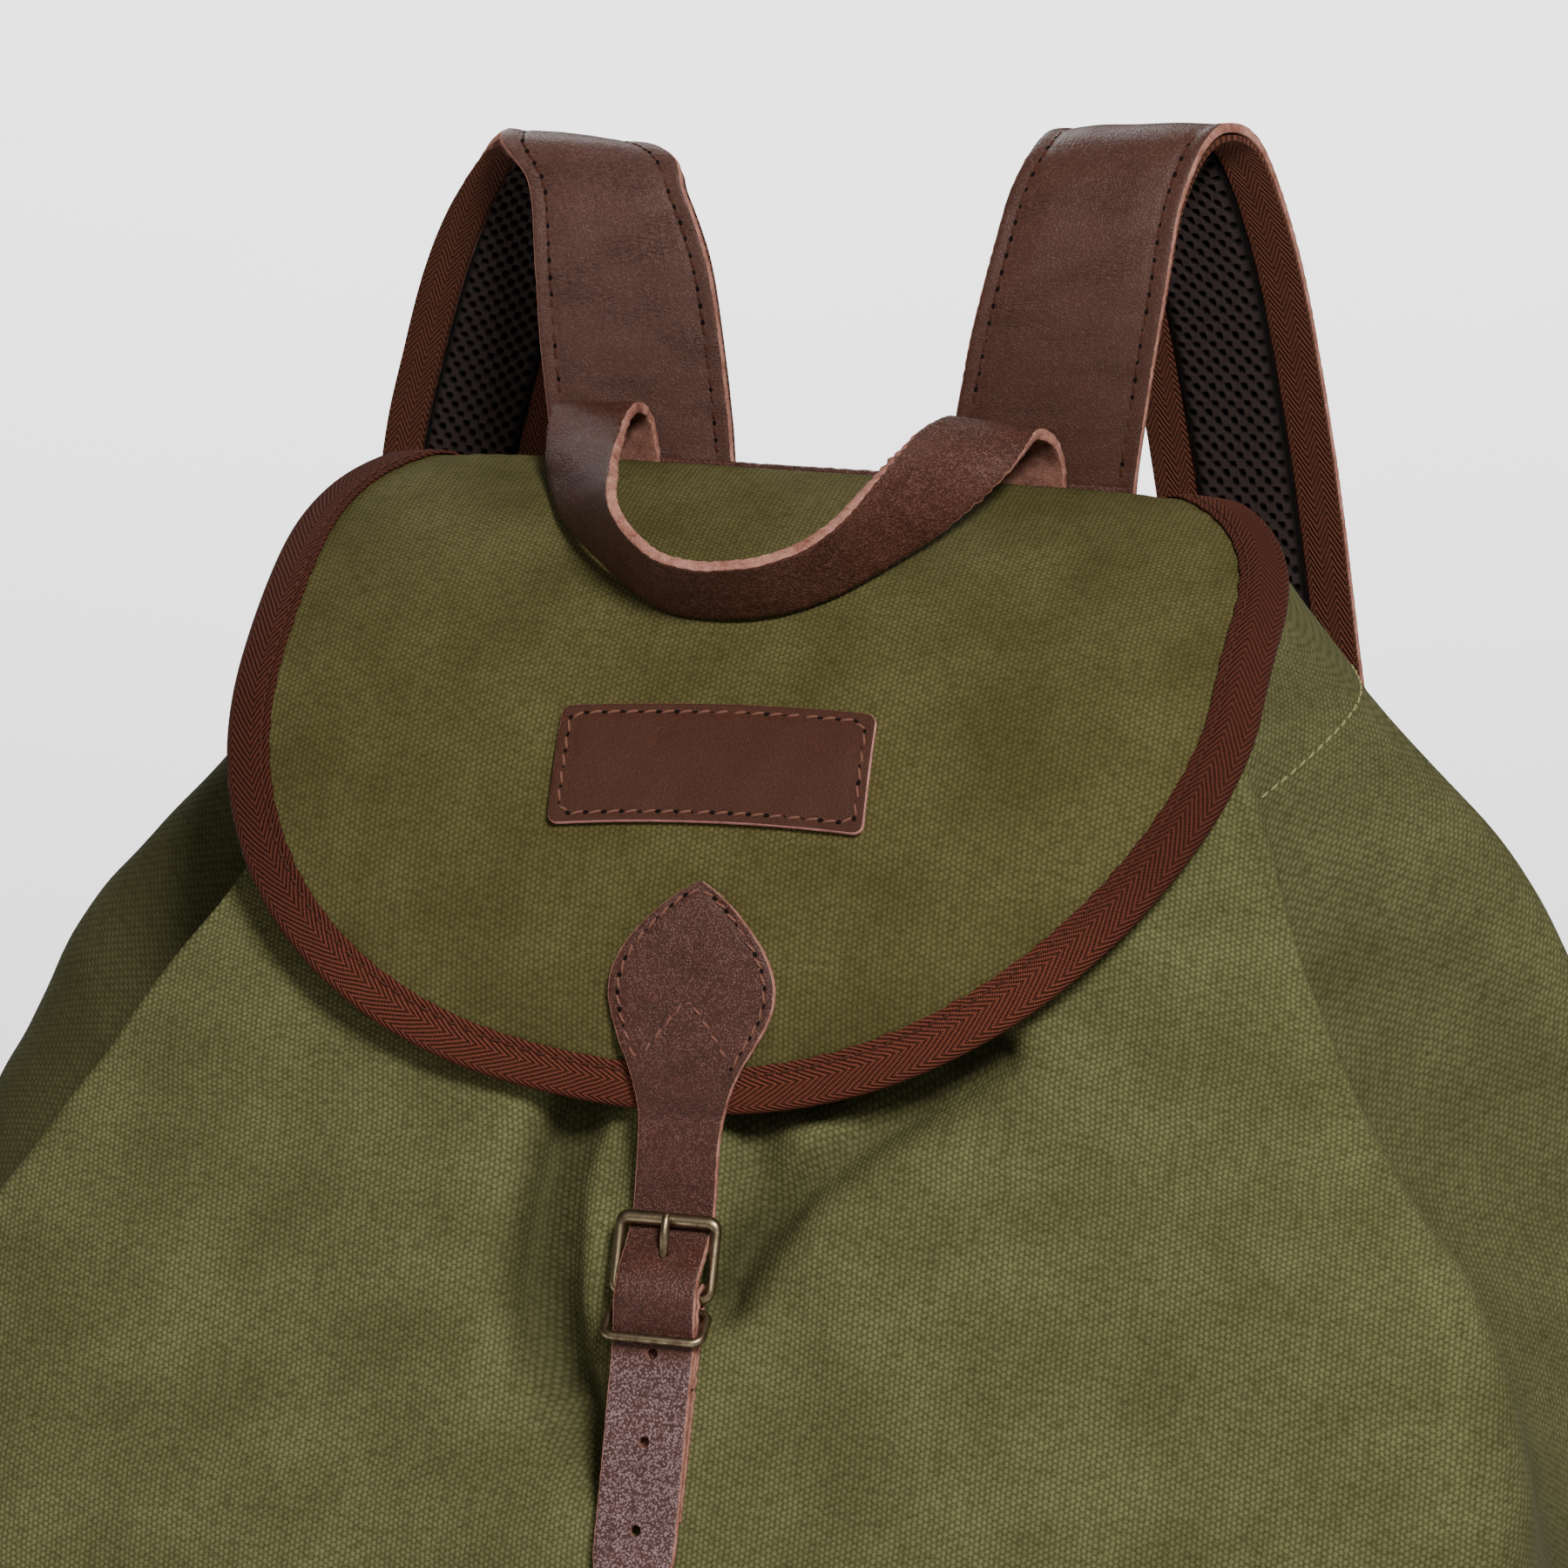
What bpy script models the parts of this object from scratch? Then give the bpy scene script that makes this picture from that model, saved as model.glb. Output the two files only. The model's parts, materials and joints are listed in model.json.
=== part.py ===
"""Canvas mountain backpack with leather straps, a flap and one buckle.

Metres, +Z up. The bag stands on its base: the origin is the middle of the base on the floor,
its front faces -Y and its back panel, which carries the straps, lies at +Y.
Lengths in the tables and named sizes below are in millimetres, angles in degrees.
"""
import math

import bmesh
import bpy
import numpy as np
from mathutils import Vector

MM = 0.001
SEAM_GAP = 0.3
WIRE_RESOLUTION = 2
CORNER_STEPS = 2

# Body: one sewn canvas sack, open at the mouth
CANVAS = 2.0
BACK_PLANE = 95.0
BACK_CROWN = 1.0
BACK_QUARTER = 0.6
FRONT_QUARTER = 0.55
FRONT_CROWN = 0.72
FOLD_REACH = 4.0
SECTION_STEPS = 3
HEIGHT_STEPS = 2

# One row for each horizontal section of the sack, from the base to the mouth.
# The gusset folds inward at the valley, between the front crease and the side wing.
BODY_COLUMNS = ("z_front", "z_back", "front_y",
                "crease_left", "crease_right", "crease_y",
                "valley_left", "valley_right", "valley_y",
                "wing_left", "wing_right", "wing_y",
                "back_half", "back_y")
BODY_SECTIONS = (
    (0.0, 0.0, -86.0, -166.0, 166.0, -68.0, -181.0, 181.0, -16.0, -182.0, 182.0, 42.0, 150.0, 82.0),
    (14.0, 14.0, -98.0, -182.0, 182.0, -80.0, -199.0, 199.0, -20.0, -200.0, 200.0, 46.0, 162.0, 93.0),
    (50.0, 50.0, -108.0, -192.0, 194.0, -88.0, -210.0, 212.0, -22.0, -213.0, 215.0, 48.0, 172.0, 94.0),
    (110.0, 110.0, -108.0, -200.0, 204.0, -90.0, -218.0, 222.0, -22.0, -225.0, 229.0, 50.0, 180.0, 94.0),
    (170.0, 170.0, -91.0, -202.0, 208.0, -77.0, -214.0, 220.0, -20.0, -227.0, 232.0, 50.0, 182.0, 94.0),
    (213.0, 213.0, -72.0, -198.0, 208.0, -63.0, -200.0, 211.0, -18.0, -224.0, 230.0, 50.0, 178.0, 94.0),
    (240.0, 240.0, -59.0, -188.0, 204.0, -52.0, -177.0, 197.0, -12.0, -220.0, 228.0, 50.0, 172.0, 94.0),
    (262.0, 264.0, -48.5, -174.0, 195.0, -42.0, -153.0, 179.0, -3.0, -209.0, 224.0, 51.0, 165.0, 94.0),
    (286.0, 291.0, -37.0, -157.0, 175.0, -32.0, -131.0, 156.0, 5.0, -197.0, 216.5, 52.0, 155.0, 94.0),
    (310.0, 318.0, -30.0, -141.0, 160.0, -22.0, -115.0, 140.0, 11.0, -177.0, 204.5, 54.0, 144.0, 94.0),
    (334.0, 347.0, -23.0, -123.0, 147.0, -12.0, -100.0, 128.0, 16.0, -150.0, 187.0, 56.0, 135.0, 94.0),
    (354.0, 376.0, -14.0, -109.0, 138.0, -4.0, -91.0, 122.0, 20.0, -134.0, 158.0, 59.0, 129.0, 93.2),
    (372.0, 406.0, 0.0, -99.0, 127.0, 6.5, -86.0, 114.5, 24.0, -118.0, 127.0, 61.0, 116.0, 91.0),
)

# Folds pressed into the front panel: a line, its half width, and how deep it goes (raised if negative)
FOLD_COLUMNS = ("x0", "z0", "x1", "z1", "half_width", "depth")
FRONT_FOLDS = (
    (-24.0, 278.0, -34.0, 205.0, 11.0, 5.0),
    (18.0, 284.0, 66.0, 300.0, 9.0, 4.5),
    (22.0, 268.0, 30.0, 235.0, 9.0, 2.5),
    (-95.0, 240.0, -60.0, 170.0, 22.0, 2.0),
)

# Flap: a dome that wraps over the mouth, drawn on the flat as across x and down t
FLAP_CANVAS = 2.4
FLAP_TOP = 420.0
DOME_RUN = 136.0
DOME_DROP = 131.0
DOME_HALF_WIDTH = 204.0
DOME_POWER = 5.4
DOME_RADIUS = 133.0
FLAP_HALF_WIDTH = 132.0
FLAP_FRONT = 208.0
FRONT_ARC_START = 90.0
FRONT_ARC_POWERS = {"left": 2.4, "right": 1.84}
BACK_ARC_START = 60.0
BACK_ARC_POWERS = {"left": 2.8, "right": 2.3}
ROLL_START = 4.0
ROLL_RADIUS = 6.7
FLAP_BACK = -34.0
FLAP_MIDDLE = 75.0
OUTLINE_POINTS = 56
FLAP_RINGS = 5

# Binding: herringbone tape folded round the flap's edge
BINDING_WIDTH = 11.5
BINDING_TAPE = 0.9
BINDING_SOFT_EDGE = 0.2
BINDING_END_X = 86.0

# Patch on the flap
PATCH_SIZE = (81.0, 31.5)
PATCH_MIDDLE = (-0.5, 120.7)
PATCH_TURN = -2.3
PATCH_BOW = 1.9
PATCH_LEATHER = 2.5

# Closure strap: spade-shaped tab on the flap, then a strap through the buckle
STRAP_LEATHER = 2.2
# Rows of the tab: x across, t down the flap, and its half width there
TAB_OUTLINE = (
    (1.2, 149.6, 0.8), (1.2, 153.0, 6.0), (1.2, 158.0, 11.5), (1.2, 165.0, 17.3), (1.2, 172.0, 20.8),
    (1.1, 178.0, 21.5), (0.9, 184.0, 20.2), (0.6, 190.0, 17.6), (0.3, 196.0, 14.6), (0.0, 202.0, 12.4),
    (-0.3, 208.0, 11.2),
)
TAB_LIFT_START = 184.0
TAB_LIFT_RUN = 10.0
STRAP_HALF_WIDTH = 10.6
STRAP_TIP_HALF_WIDTH = 4.0

# Rows by the buckle: x across, d down the cloth from the flap's edge, and h off the cloth
BUCKLE_TOP_Y = -38.5
BUCKLE_TOP_Z = 283.0
BUCKLE_SLOPE = 25.5
STRAP_RUN = (
    (-0.5, 2.0, 5.2), (-0.7, 8.0, 3.4), (-0.9, 14.0, 1.6), (-1.0, 19.0, 0.6), (-1.1, 23.0, 0.5),
    (-1.2, 26.0, 1.5), (-1.2, 29.0, 3.1), (-1.2, 32.0, 5.1), (-1.2, 35.0, 7.0), (-1.2, 38.0, 8.3),
    (-1.2, 41.0, 8.8), (-1.2, 44.0, 8.4), (-1.2, 47.0, 7.4), (-1.2, 50.5, 5.9), (-1.2, 55.0, 5.0),
    (-1.2, 61.0, 4.7), (-1.2, 68.0, 4.2), (-1.2, 78.0, 3.4), (-1.2, 90.0, 2.6), (-1.2, 104.0, 2.0),
    (-1.2, 118.0, 1.6),
)
HOLES_D = (55.6, 77.4, 99.2)
STRAP_OFF_CLOTH = 5.0
HOLE_RADIUS = 1.45
BUCKLE_X = -1.2

# Buckle: a wire frame and its prong, held in the folded end of the lower strap
FRAME_WIRE = 1.5
FRAME_WIDTH = 24.8
FRAME_CORNER = 2.4
TOP_BAR = (22.0, 4.7)
LOWER_BAR = (40.9, 4.1)
PRONG_RADIUS = 1.2
PRONG_TIP_RADIUS = 0.9
PRONG_RUN = ((37.9, 4.3), (34.0, 5.4), (30.0, 6.6), (26.0, 7.7), (22.5, 8.0), (20.2, 7.4))
PRONG_HOLE_CLEARANCE = 0.4
KEEPER_WIRE = 1.2
KEEPER_WIDTH = 25.0
KEEPER_CORNER = 2.4
KEEPER_BACK = (44.6, 3.6)
KEEPER_FRONT = (52.2, 9.5)
LOWER_LEATHER = 1.8
LOWER_HALF_WIDTH = 10.6
LOWER_TAIL = ((63.0, 2.5), (57.0, 2.6), (52.0, 3.2), (48.0, 4.8), (44.6, 5.3))
LOWER_LEAD = ((46.0, 2.2), (60.0, 2.2), (78.0, 2.2), (96.0, 2.2))
PRONG_SLOT = (9.0, 3.2, 7.0)
PRONG_SLOT_RISE = (1.2, 1.5)
PUNCH_LENGTH = 12.0
PRONG_PUNCH_LENGTH = 18.0
PUNCH_SIDES = 12

# Carry handle: its middle line and the turn of its width, from the left seam to the right seam
RIBBON_COLUMNS = ("x", "y", "z", "yaw", "tilt", "half_width")
RIBBON_STEPS = 2
HANDLE_LEATHER = 3.0
HANDLE_ROWS = (
    (-57.5, 98.0, 386.0, 180.0, 0.0, 11.7), (-57.5, 98.0, 414.0, 180.0, 0.0, 11.7),
    (-59.0, 95.5, 429.0, 180.0, 0.0, 11.7), (-59.7, 87.0, 432.8, 170.0, -6.5, 11.7),
    (-57.8, 73.0, 429.3, 148.5, -10.0, 11.7), (-52.3, 53.8, 425.0, 130.0, -15.5, 11.7),
    (-40.9, 29.2, 420.9, 125.0, -29.5, 11.7), (-21.8, 16.5, 411.0, 112.5, -43.0, 11.7),
    (-1.6, 14.0, 410.4, 95.0, -48.5, 11.7), (15.9, 20.9, 414.1, 79.5, -45.5, 11.7),
    (29.9, 36.5, 422.2, 61.5, -36.0, 11.7), (39.8, 56.0, 430.0, 37.0, -29.0, 11.7),
    (45.9, 73.0, 435.0, 14.0, -15.0, 11.7), (48.0, 88.0, 434.0, 2.5, -5.0, 11.7),
    (51.5, 96.5, 425.0, 0.0, 0.0, 11.7), (51.5, 98.0, 411.0, 0.0, 0.0, 11.7),
    (51.5, 98.0, 386.0, 0.0, 0.0, 11.7),
)

# Shoulder straps: the underside of the leather, from the top seam over the crest and down behind
SHOULDER_LEATHER = 2.5
MESH_PAD = 3.0
PAD_GAP = 0.6
PAD_SEAM = 0.8
MESH_HALF_WIDTH = 12.9
TAPE_EDGE = 24.6
STRAP_TAPE = 1.5
SHOULDER_HALF_WIDTH = 25.0
PAD_START_ROW = 0.5
SHOULDER_ROWS = {
    "left": (
        (-52.5, 106.6, 380.0, 0.0, 0.0, 25.0), (-52.5, 106.6, 414.0, 0.0, 0.0, 25.0),
        (-55.5, 107.5, 445.0, 0.0, 1.0, 25.0), (-59.0, 110.0, 471.0, -2.0, 2.0, 23.8),
        (-64.0, 116.0, 489.2, -4.5, 1.0, 20.4), (-72.6, 125.2, 495.6, -6.5, -1.0, 18.2),
        (-81.0, 136.5, 490.0, -6.5, -4.0, 20.8), (-92.6, 145.0, 472.0, -5.0, -7.0, 23.5),
        (-102.8, 152.5, 450.0, -3.0, -8.5, 25.0), (-112.4, 159.5, 423.0, -1.0, -9.0, 25.0),
        (-120.0, 164.0, 396.0, 0.0, -8.0, 25.0), (-126.0, 166.0, 352.0, 0.0, -5.0, 25.0),
        (-130.0, 162.0, 302.0, 0.0, -1.0, 25.0), (-131.5, 153.5, 262.0, 0.0, 0.0, 25.0),
        (-132.0, 148.5, 242.0, 0.0, 0.0, 11.5),
    ),
    "right": (
        (55.5, 106.6, 380.0, 0.0, 0.0, 25.0),
        (55.5, 106.6, 414.0, 0.0, 0.0, 25.0),
        (59.5, 107.2, 445.0, 0.0, 2.5, 24.7),
        (63.5, 110.0, 469.0, -0.5, 5.0, 24.0),
        (67.0, 116.0, 489.0, -2.0, 6.0, 23.0),
        (71.0, 123.5, 500.5, -6.0, 5.0, 22.5),
        (74.8, 132.5, 504.3, -8.5, 6.0, 23.5),
        (78.5, 143.5, 500.0, -6.0, 6.0, 25.0),
        (83.5, 150.5, 486.0, -4.0, 6.0, 25.0),
        (89.0, 158.5, 460.0, -1.0, 6.0, 25.0),
        (94.0, 165.5, 426.0, 0.0, 4.0, 25.0),
        (98.5, 168.5, 394.0, 0.0, 4.0, 25.0),
        (104.5, 168.0, 350.0, 0.0, 3.0, 25.0),
        (111.5, 164.5, 306.0, 0.0, 1.0, 25.0),
        (118.5, 156.5, 266.0, 0.0, 0.0, 25.0),
        (123.0, 150.5, 246.0, 0.0, 0.0, 11.5),
    ),
}

# Leather strip sewn across the back, between the handle's ends and the shoulder straps
YOKE_LEATHER = 1.8
YOKE_MIDDLE_Y = 102.5
YOKE_X = (-84.0, 86.0)
YOKE_Z = (382.0, 418.2)
YOKE_ROUND = 0.5

# A plain ring joins each shoulder strap to a lower strap, which is sewn to the back's lower corner
RING_WIRE = 1.6
RING_WIDTH = 27.6
RING_HEIGHT = 18.0
RING_CORNER = 2.4
TONGUE_LENGTH = 22.0
TONGUE_HALF_WIDTH = 11.0
LOOP_TAIL = 17.0
LOOP_STEPS = 5
LOOP_GAP = 0.6
SIDE_STRAP_LEATHER = 2.4
ANCHOR_X = 152.0
ANCHOR_HEIGHTS = (62.0, 30.0)
SEWN_SHARE = 0.85
LOWER_STRAP_SHARES = (0.12, 0.35, 0.6, 0.85)

COLOURS = {
    "canvas": (0.098, 0.089, 0.036), "tape": (0.062, 0.022, 0.012), "leather": (0.085, 0.040, 0.030),
    "mesh": (0.013, 0.011, 0.010), "brass": (0.32, 0.24, 0.15),
}
ROUGHNESS = {"canvas": 0.9, "tape": 0.85, "leather": 0.5, "mesh": 0.9, "brass": 0.35}
METALLIC = {"brass": 1.0}


def clear_scene():
    for old in list(bpy.data.objects):
        bpy.data.objects.remove(old, do_unlink=True)


def material(kind, name):
    mat = bpy.data.materials.new(name + "_" + kind)
    mat.use_nodes = True
    shader = mat.node_tree.nodes["Principled BSDF"]
    shader.inputs["Base Color"].default_value = (*COLOURS[kind], 1.0)
    shader.inputs["Roughness"].default_value = ROUGHNESS[kind]
    shader.inputs["Metallic"].default_value = METALLIC.get(kind, 0.0)
    return mat


def new_collection(name):
    collection = bpy.data.collections.new(name)
    bpy.context.scene.collection.children.link(collection)
    return collection


def add_mesh(name, kind, points, faces, collection):
    """A mesh object from points in millimetres, its faces turned outward."""
    mesh = bpy.data.meshes.new(name)
    mesh.from_pydata([tuple(float(c) * MM for c in p) for p in points], [], faces)
    work = bmesh.new()
    work.from_mesh(mesh)
    bmesh.ops.recalc_face_normals(work, faces=work.faces)
    work.to_mesh(mesh)
    work.free()
    mesh.shade_smooth()
    mesh.set_sharp_from_angle(angle=math.radians(40))
    mesh.materials.append(material(kind, name))
    piece = bpy.data.objects.new(name, mesh)
    collection.objects.link(piece)
    return piece


def through(rows, places):
    """Points on a smooth curve through the rows, at the given places counted in rows."""
    rows = np.asarray(rows, float)
    last = len(rows) - 1
    out = []
    for place in places:
        i = min(int(place), last - 1)
        f = place - i
        p1, p2 = rows[i], rows[i + 1]
        p0 = rows[i - 1] if i > 0 else 2.0 * p1 - p2
        p3 = rows[i + 2] if i + 2 <= last else 2.0 * p2 - p1
        m1, m2 = (p2 - p0) / 2.0, (p3 - p1) / 2.0
        out.append((2 * f**3 - 3 * f**2 + 1) * p1 + (f**3 - 2 * f**2 + f) * m1
                   + (3 * f**2 - 2 * f**3) * p2 + (f**3 - f**2) * m2)
    return np.array(out)


def closed_through(points, steps):
    """The same curve through a closed loop of points."""
    count = len(points)
    padded = np.concatenate((points[-1:], points, points[:2]))
    places = [1.0 + i / steps for i in range(count * steps)]
    return through(padded, places)


def fold_depth(x, z):
    """How far the front panel is pushed in at a place on it."""
    depth = 0.0
    for row in FRONT_FOLDS:
        fold = dict(zip(FOLD_COLUMNS, row))
        start = np.array((fold["x0"], fold["z0"]))
        run = np.array((fold["x1"], fold["z1"])) - start
        along = np.clip(np.dot(np.array((x, z)) - start, run) / np.dot(run, run), 0.0, 1.0)
        away = np.linalg.norm(np.array((x, z)) - start - along * run)
        depth += fold["depth"] * math.exp(-(away / fold["half_width"]) ** 2)
    return depth


def body_section(row):
    """The closed outline of one section, from the middle of the back round by the left side."""
    s = dict(zip(BODY_COLUMNS, row))
    quarter_y = s["front_y"] * FRONT_CROWN + s["crease_y"] * (1.0 - FRONT_CROWN)
    back_y = s["back_y"] + BACK_CROWN
    plan = np.array((
        (0.0, back_y),
        (-s["back_half"] * BACK_QUARTER, back_y),
        (-s["back_half"], s["back_y"]),
        (s["wing_left"], s["wing_y"]),
        (s["valley_left"], s["valley_y"]),
        (s["crease_left"], s["crease_y"]),
        (s["crease_left"] * FRONT_QUARTER, quarter_y),
        (0.0, s["front_y"]),
        (s["crease_right"] * FRONT_QUARTER, quarter_y),
        (s["crease_right"], s["crease_y"]),
        (s["valley_right"], s["valley_y"]),
        (s["wing_right"], s["wing_y"]),
        (s["back_half"], s["back_y"]),
        (s["back_half"] * BACK_QUARTER, back_y),
    ))
    loop = closed_through(plan, SECTION_STEPS)
    ring = []
    for x, y in loop:
        y = min(y, BACK_PLANE)
        share = (y - s["front_y"]) / (s["back_y"] - s["front_y"])
        z = s["z_front"] + (s["z_back"] - s["z_front"]) * np.clip(share, 0.0, 1.0)
        if y < s["crease_y"] + FOLD_REACH:
            y = y + fold_depth(x, z)
        ring.append((x, y, z))
    return ring


def make_body(collection):
    places = [i / HEIGHT_STEPS for i in range((len(BODY_SECTIONS) - 1) * HEIGHT_STEPS + 1)]
    rings = [body_section(row) for row in through(BODY_SECTIONS, places)]
    sides = len(rings[0])
    points = [p for ring in rings for p in ring]
    faces = [tuple(range(sides))]
    for level in range(len(rings) - 1):
        for i in range(sides):
            j = (i + 1) % sides
            low, high = level * sides, (level + 1) * sides
            faces.append((low + i, low + j, high + j, high + i))
    body = add_mesh("main_body", "canvas", points, faces, collection)
    wall = body.modifiers.new("canvas wall", "SOLIDIFY")
    wall.thickness = CANVAS * MM
    wall.offset = -1.0
    return body


def dome_point(x, t):
    """The flap's outer face at x across and t down from the top of the back."""
    spread = math.sqrt(max(0.0, 1.0 - (abs(x) / DOME_HALF_WIDTH) ** DOME_POWER))
    turn = max(t, ROLL_START) / DOME_RADIUS
    y = BACK_PLANE - DOME_RUN * spread * math.sin(turn)
    z = FLAP_TOP - DOME_DROP + DOME_DROP * spread * math.cos(turn)
    if t < ROLL_START:
        roll = min((ROLL_START - t) / ROLL_RADIUS, math.pi / 2)
        straight = max(0.0, ROLL_START - t - ROLL_RADIUS * math.pi / 2)
        y += ROLL_RADIUS * math.sin(roll)
        z -= ROLL_RADIUS * (1.0 - math.cos(roll)) + straight
    return np.array((x, y, z))


def dome_normal(x, t):
    step = 0.5
    across = dome_point(x + step, t) - dome_point(x - step, t)
    down = dome_point(x, t + step) - dome_point(x, t - step)
    normal = np.cross(down, across)
    return normal / np.linalg.norm(normal)


def on_flap(x, t, height):
    return dome_point(x, t) + height * dome_normal(x, t)


def flap_outline(turn):
    """The flap's edge on the flat: turn 0 is the right side, a quarter turn is the front."""
    c, s = math.cos(turn), math.sin(turn)
    side = "right" if c >= 0.0 else "left"
    if s >= 0.0:
        power, start, reach = FRONT_ARC_POWERS[side], FRONT_ARC_START, FLAP_FRONT - FRONT_ARC_START
    else:
        power, start, reach = BACK_ARC_POWERS[side], BACK_ARC_START, BACK_ARC_START - FLAP_BACK
    x = math.copysign(abs(c) ** (2.0 / power), c) * FLAP_HALF_WIDTH
    t = start + math.copysign(abs(s) ** (2.0 / power), s) * reach
    return x, t


def outline_turns():
    return [2.0 * math.pi * (i + 0.5) / OUTLINE_POINTS for i in range(OUTLINE_POINTS)]


def inside_outline(turn, inset):
    """A place on the flat, a distance in from the flap's edge."""
    x, t = flap_outline(turn)
    ahead, behind = flap_outline(turn + 0.01), flap_outline(turn - 0.01)
    along = np.array((ahead[0] - behind[0], ahead[1] - behind[1]))
    along /= np.linalg.norm(along)
    return x - inset * along[1], t + inset * along[0]


def make_flap(collection):
    """A sheet lofted in rings from its middle; the last but one lies at the binding's inner edge."""
    places = [(0.0, FLAP_MIDDLE)]
    for ring in range(1, FLAP_RINGS + 1):
        share = ring / FLAP_RINGS
        for turn in outline_turns():
            x, t = inside_outline(turn, BINDING_WIDTH)
            places.append((x * share, FLAP_MIDDLE + (t - FLAP_MIDDLE) * share))
    places += [flap_outline(turn) for turn in outline_turns()]
    points = [on_flap(x, t, height) for height in (0.0, -FLAP_CANVAS) for x, t in places]
    under, edge = len(places), 1 + FLAP_RINGS * OUTLINE_POINTS
    faces = []
    for i in range(OUTLINE_POINTS):
        j = (i + 1) % OUTLINE_POINTS
        faces.append((0, 1 + i, 1 + j))
        faces.append((under, under + 1 + j, under + 1 + i))
        for a in range(1, edge, OUTLINE_POINTS):
            b = a + OUTLINE_POINTS
            faces.append((b + i, b + j, a + j, a + i))
            faces.append((under + a + i, under + b + i, under + b + j, under + a + j))
        faces.append((edge + i, edge + j, under + edge + j, under + edge + i))
    return add_mesh("flap", "canvas", points, faces, collection)


def sweep(sections):
    """Points and faces of a solid through like sections, with flat ends."""
    sides = len(sections[0])
    points = [tuple(p) for section in sections for p in section]
    faces = []
    last = (len(sections) - 1) * sides
    for low in range(0, last, sides):
        high = low + sides
        for i in range(sides):
            j = (i + 1) % sides
            faces.append((low + i, low + j, high + j, high + i))
    faces.append(tuple(range(sides)))
    faces.append(tuple(last + i for i in reversed(range(sides))))
    return points, faces


def make_binding(collection):
    """Tape folded over the flap's edge, as a channel with a small gap to the canvas."""
    turns = outline_turns()
    first_quarter = 3 * OUTLINE_POINTS // 4
    turns = turns[first_quarter:] + [turn + 2.0 * math.pi for turn in turns[:first_quarter]]
    top, under = SEAM_GAP + BINDING_TAPE, -FLAP_CANVAS - SEAM_GAP - BINDING_TAPE
    outer, soft = BINDING_TAPE + SEAM_GAP, BINDING_SOFT_EDGE
    channel = (
        (BINDING_WIDTH, top), (soft, top), (-outer, -soft),
        (-outer, -FLAP_CANVAS + soft), (soft, under), (BINDING_WIDTH, under),
        (BINDING_WIDTH, -FLAP_CANVAS - SEAM_GAP), (-SEAM_GAP, -FLAP_CANVAS - SEAM_GAP),
        (-SEAM_GAP, SEAM_GAP), (BINDING_WIDTH, SEAM_GAP),
    )
    sections = []
    for turn in turns:
        x, t = flap_outline(turn)
        if t < 0.0 and abs(x) < BINDING_END_X:
            continue
        sections.append([on_flap(*inside_outline(turn, inset), height) for inset, height in channel])
    points, faces = sweep(sections)
    return add_mesh("flap_binding", "tape", points, faces, collection)


def turned_rectangle(size, turn, bow, steps):
    """A grid over a rectangle turned on the flat and bowed upward, as rows of (x, t)."""
    c, s = math.cos(math.radians(turn)), math.sin(math.radians(turn))
    rows = []
    for j in range(steps[1] + 1):
        v = size[1] * (j / steps[1] - 0.5)
        row = []
        for i in range(steps[0] + 1):
            u = size[0] * (i / steps[0] - 0.5)
            rise = bow * (1.0 - (2.0 * u / size[0]) ** 2)
            row.append((PATCH_MIDDLE[0] + u * c - v * s, PATCH_MIDDLE[1] + u * s + v * c - rise))
        rows.append(row)
    return rows


def make_patch(collection):
    rows = turned_rectangle(PATCH_SIZE, PATCH_TURN, PATCH_BOW, (8, 4))
    sections = []
    for row in rows:
        low = [on_flap(x, t, SEAM_GAP) for x, t in row]
        high = [on_flap(x, t, SEAM_GAP + PATCH_LEATHER) for x, t in reversed(row)]
        sections.append(low + high)
    points, faces = sweep(sections)
    return add_mesh("patch", "leather", points, faces, collection)


def frames_along(points, widths):
    """Width and outward vectors along a line, for a strap that may bend on the slant.

    The width vector is longer where it is not square to the line, so the strap stays as wide.
    """
    points = np.asarray(points, float)
    ahead = np.concatenate((points[1:], points[-1:]))
    behind = np.concatenate((points[:1], points[:-1]))
    tangent = ahead - behind
    tangent /= np.linalg.norm(tangent, axis=1)[:, None]
    widths = np.asarray(widths, float)
    outward = np.cross(widths, tangent)
    size = np.linalg.norm(outward, axis=1)[:, None]
    return widths / size, outward / size


def ribbon_sections(points, widths, side_a, side_b, low, high):
    """Rectangles along a line: from side_a to side_b across it and from low to high off it."""
    across, out = frames_along(points, widths)
    sections = []
    for i, p in enumerate(points):
        a, b = side_a[i], side_b[i]
        sections.append([p + a * across[i] + low * out[i], p + b * across[i] + low * out[i],
                         p + b * across[i] + high * out[i], p + a * across[i] + high * out[i]])
    return sections


def add_ribbon(name, kind, points, widths, side_a, side_b, low, high, collection):
    count = len(points)
    side_a = np.broadcast_to(side_a, (count,))
    side_b = np.broadcast_to(side_b, (count,))
    solid, faces = sweep(ribbon_sections(points, widths, side_a, side_b, low, high))
    return add_mesh(name, kind, solid, faces, collection)


def ribbon_line(rows, steps):
    """The middle line, width vectors and half widths of a ribbon from its table."""
    places = [i / steps for i in range((len(rows) - 1) * steps + 1)]
    table = dict(zip(RIBBON_COLUMNS, through(rows, places).T))
    yaw, tilt = np.radians(table["yaw"]), np.radians(table["tilt"])
    widths = np.stack((np.cos(tilt) * np.cos(yaw), np.cos(tilt) * np.sin(yaw), np.sin(tilt)), axis=1)
    return np.stack((table["x"], table["y"], table["z"]), axis=1), widths, table["half_width"]


def on_front(x, d, h):
    """A place by the buckle: d down the cloth from the flap's edge and h off it."""
    slope = math.radians(BUCKLE_SLOPE)
    y = BUCKLE_TOP_Y - d * math.sin(slope) - h * math.cos(slope)
    z = BUCKLE_TOP_Z - d * math.cos(slope) + h * math.sin(slope)
    return np.array((x, y, z))


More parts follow.
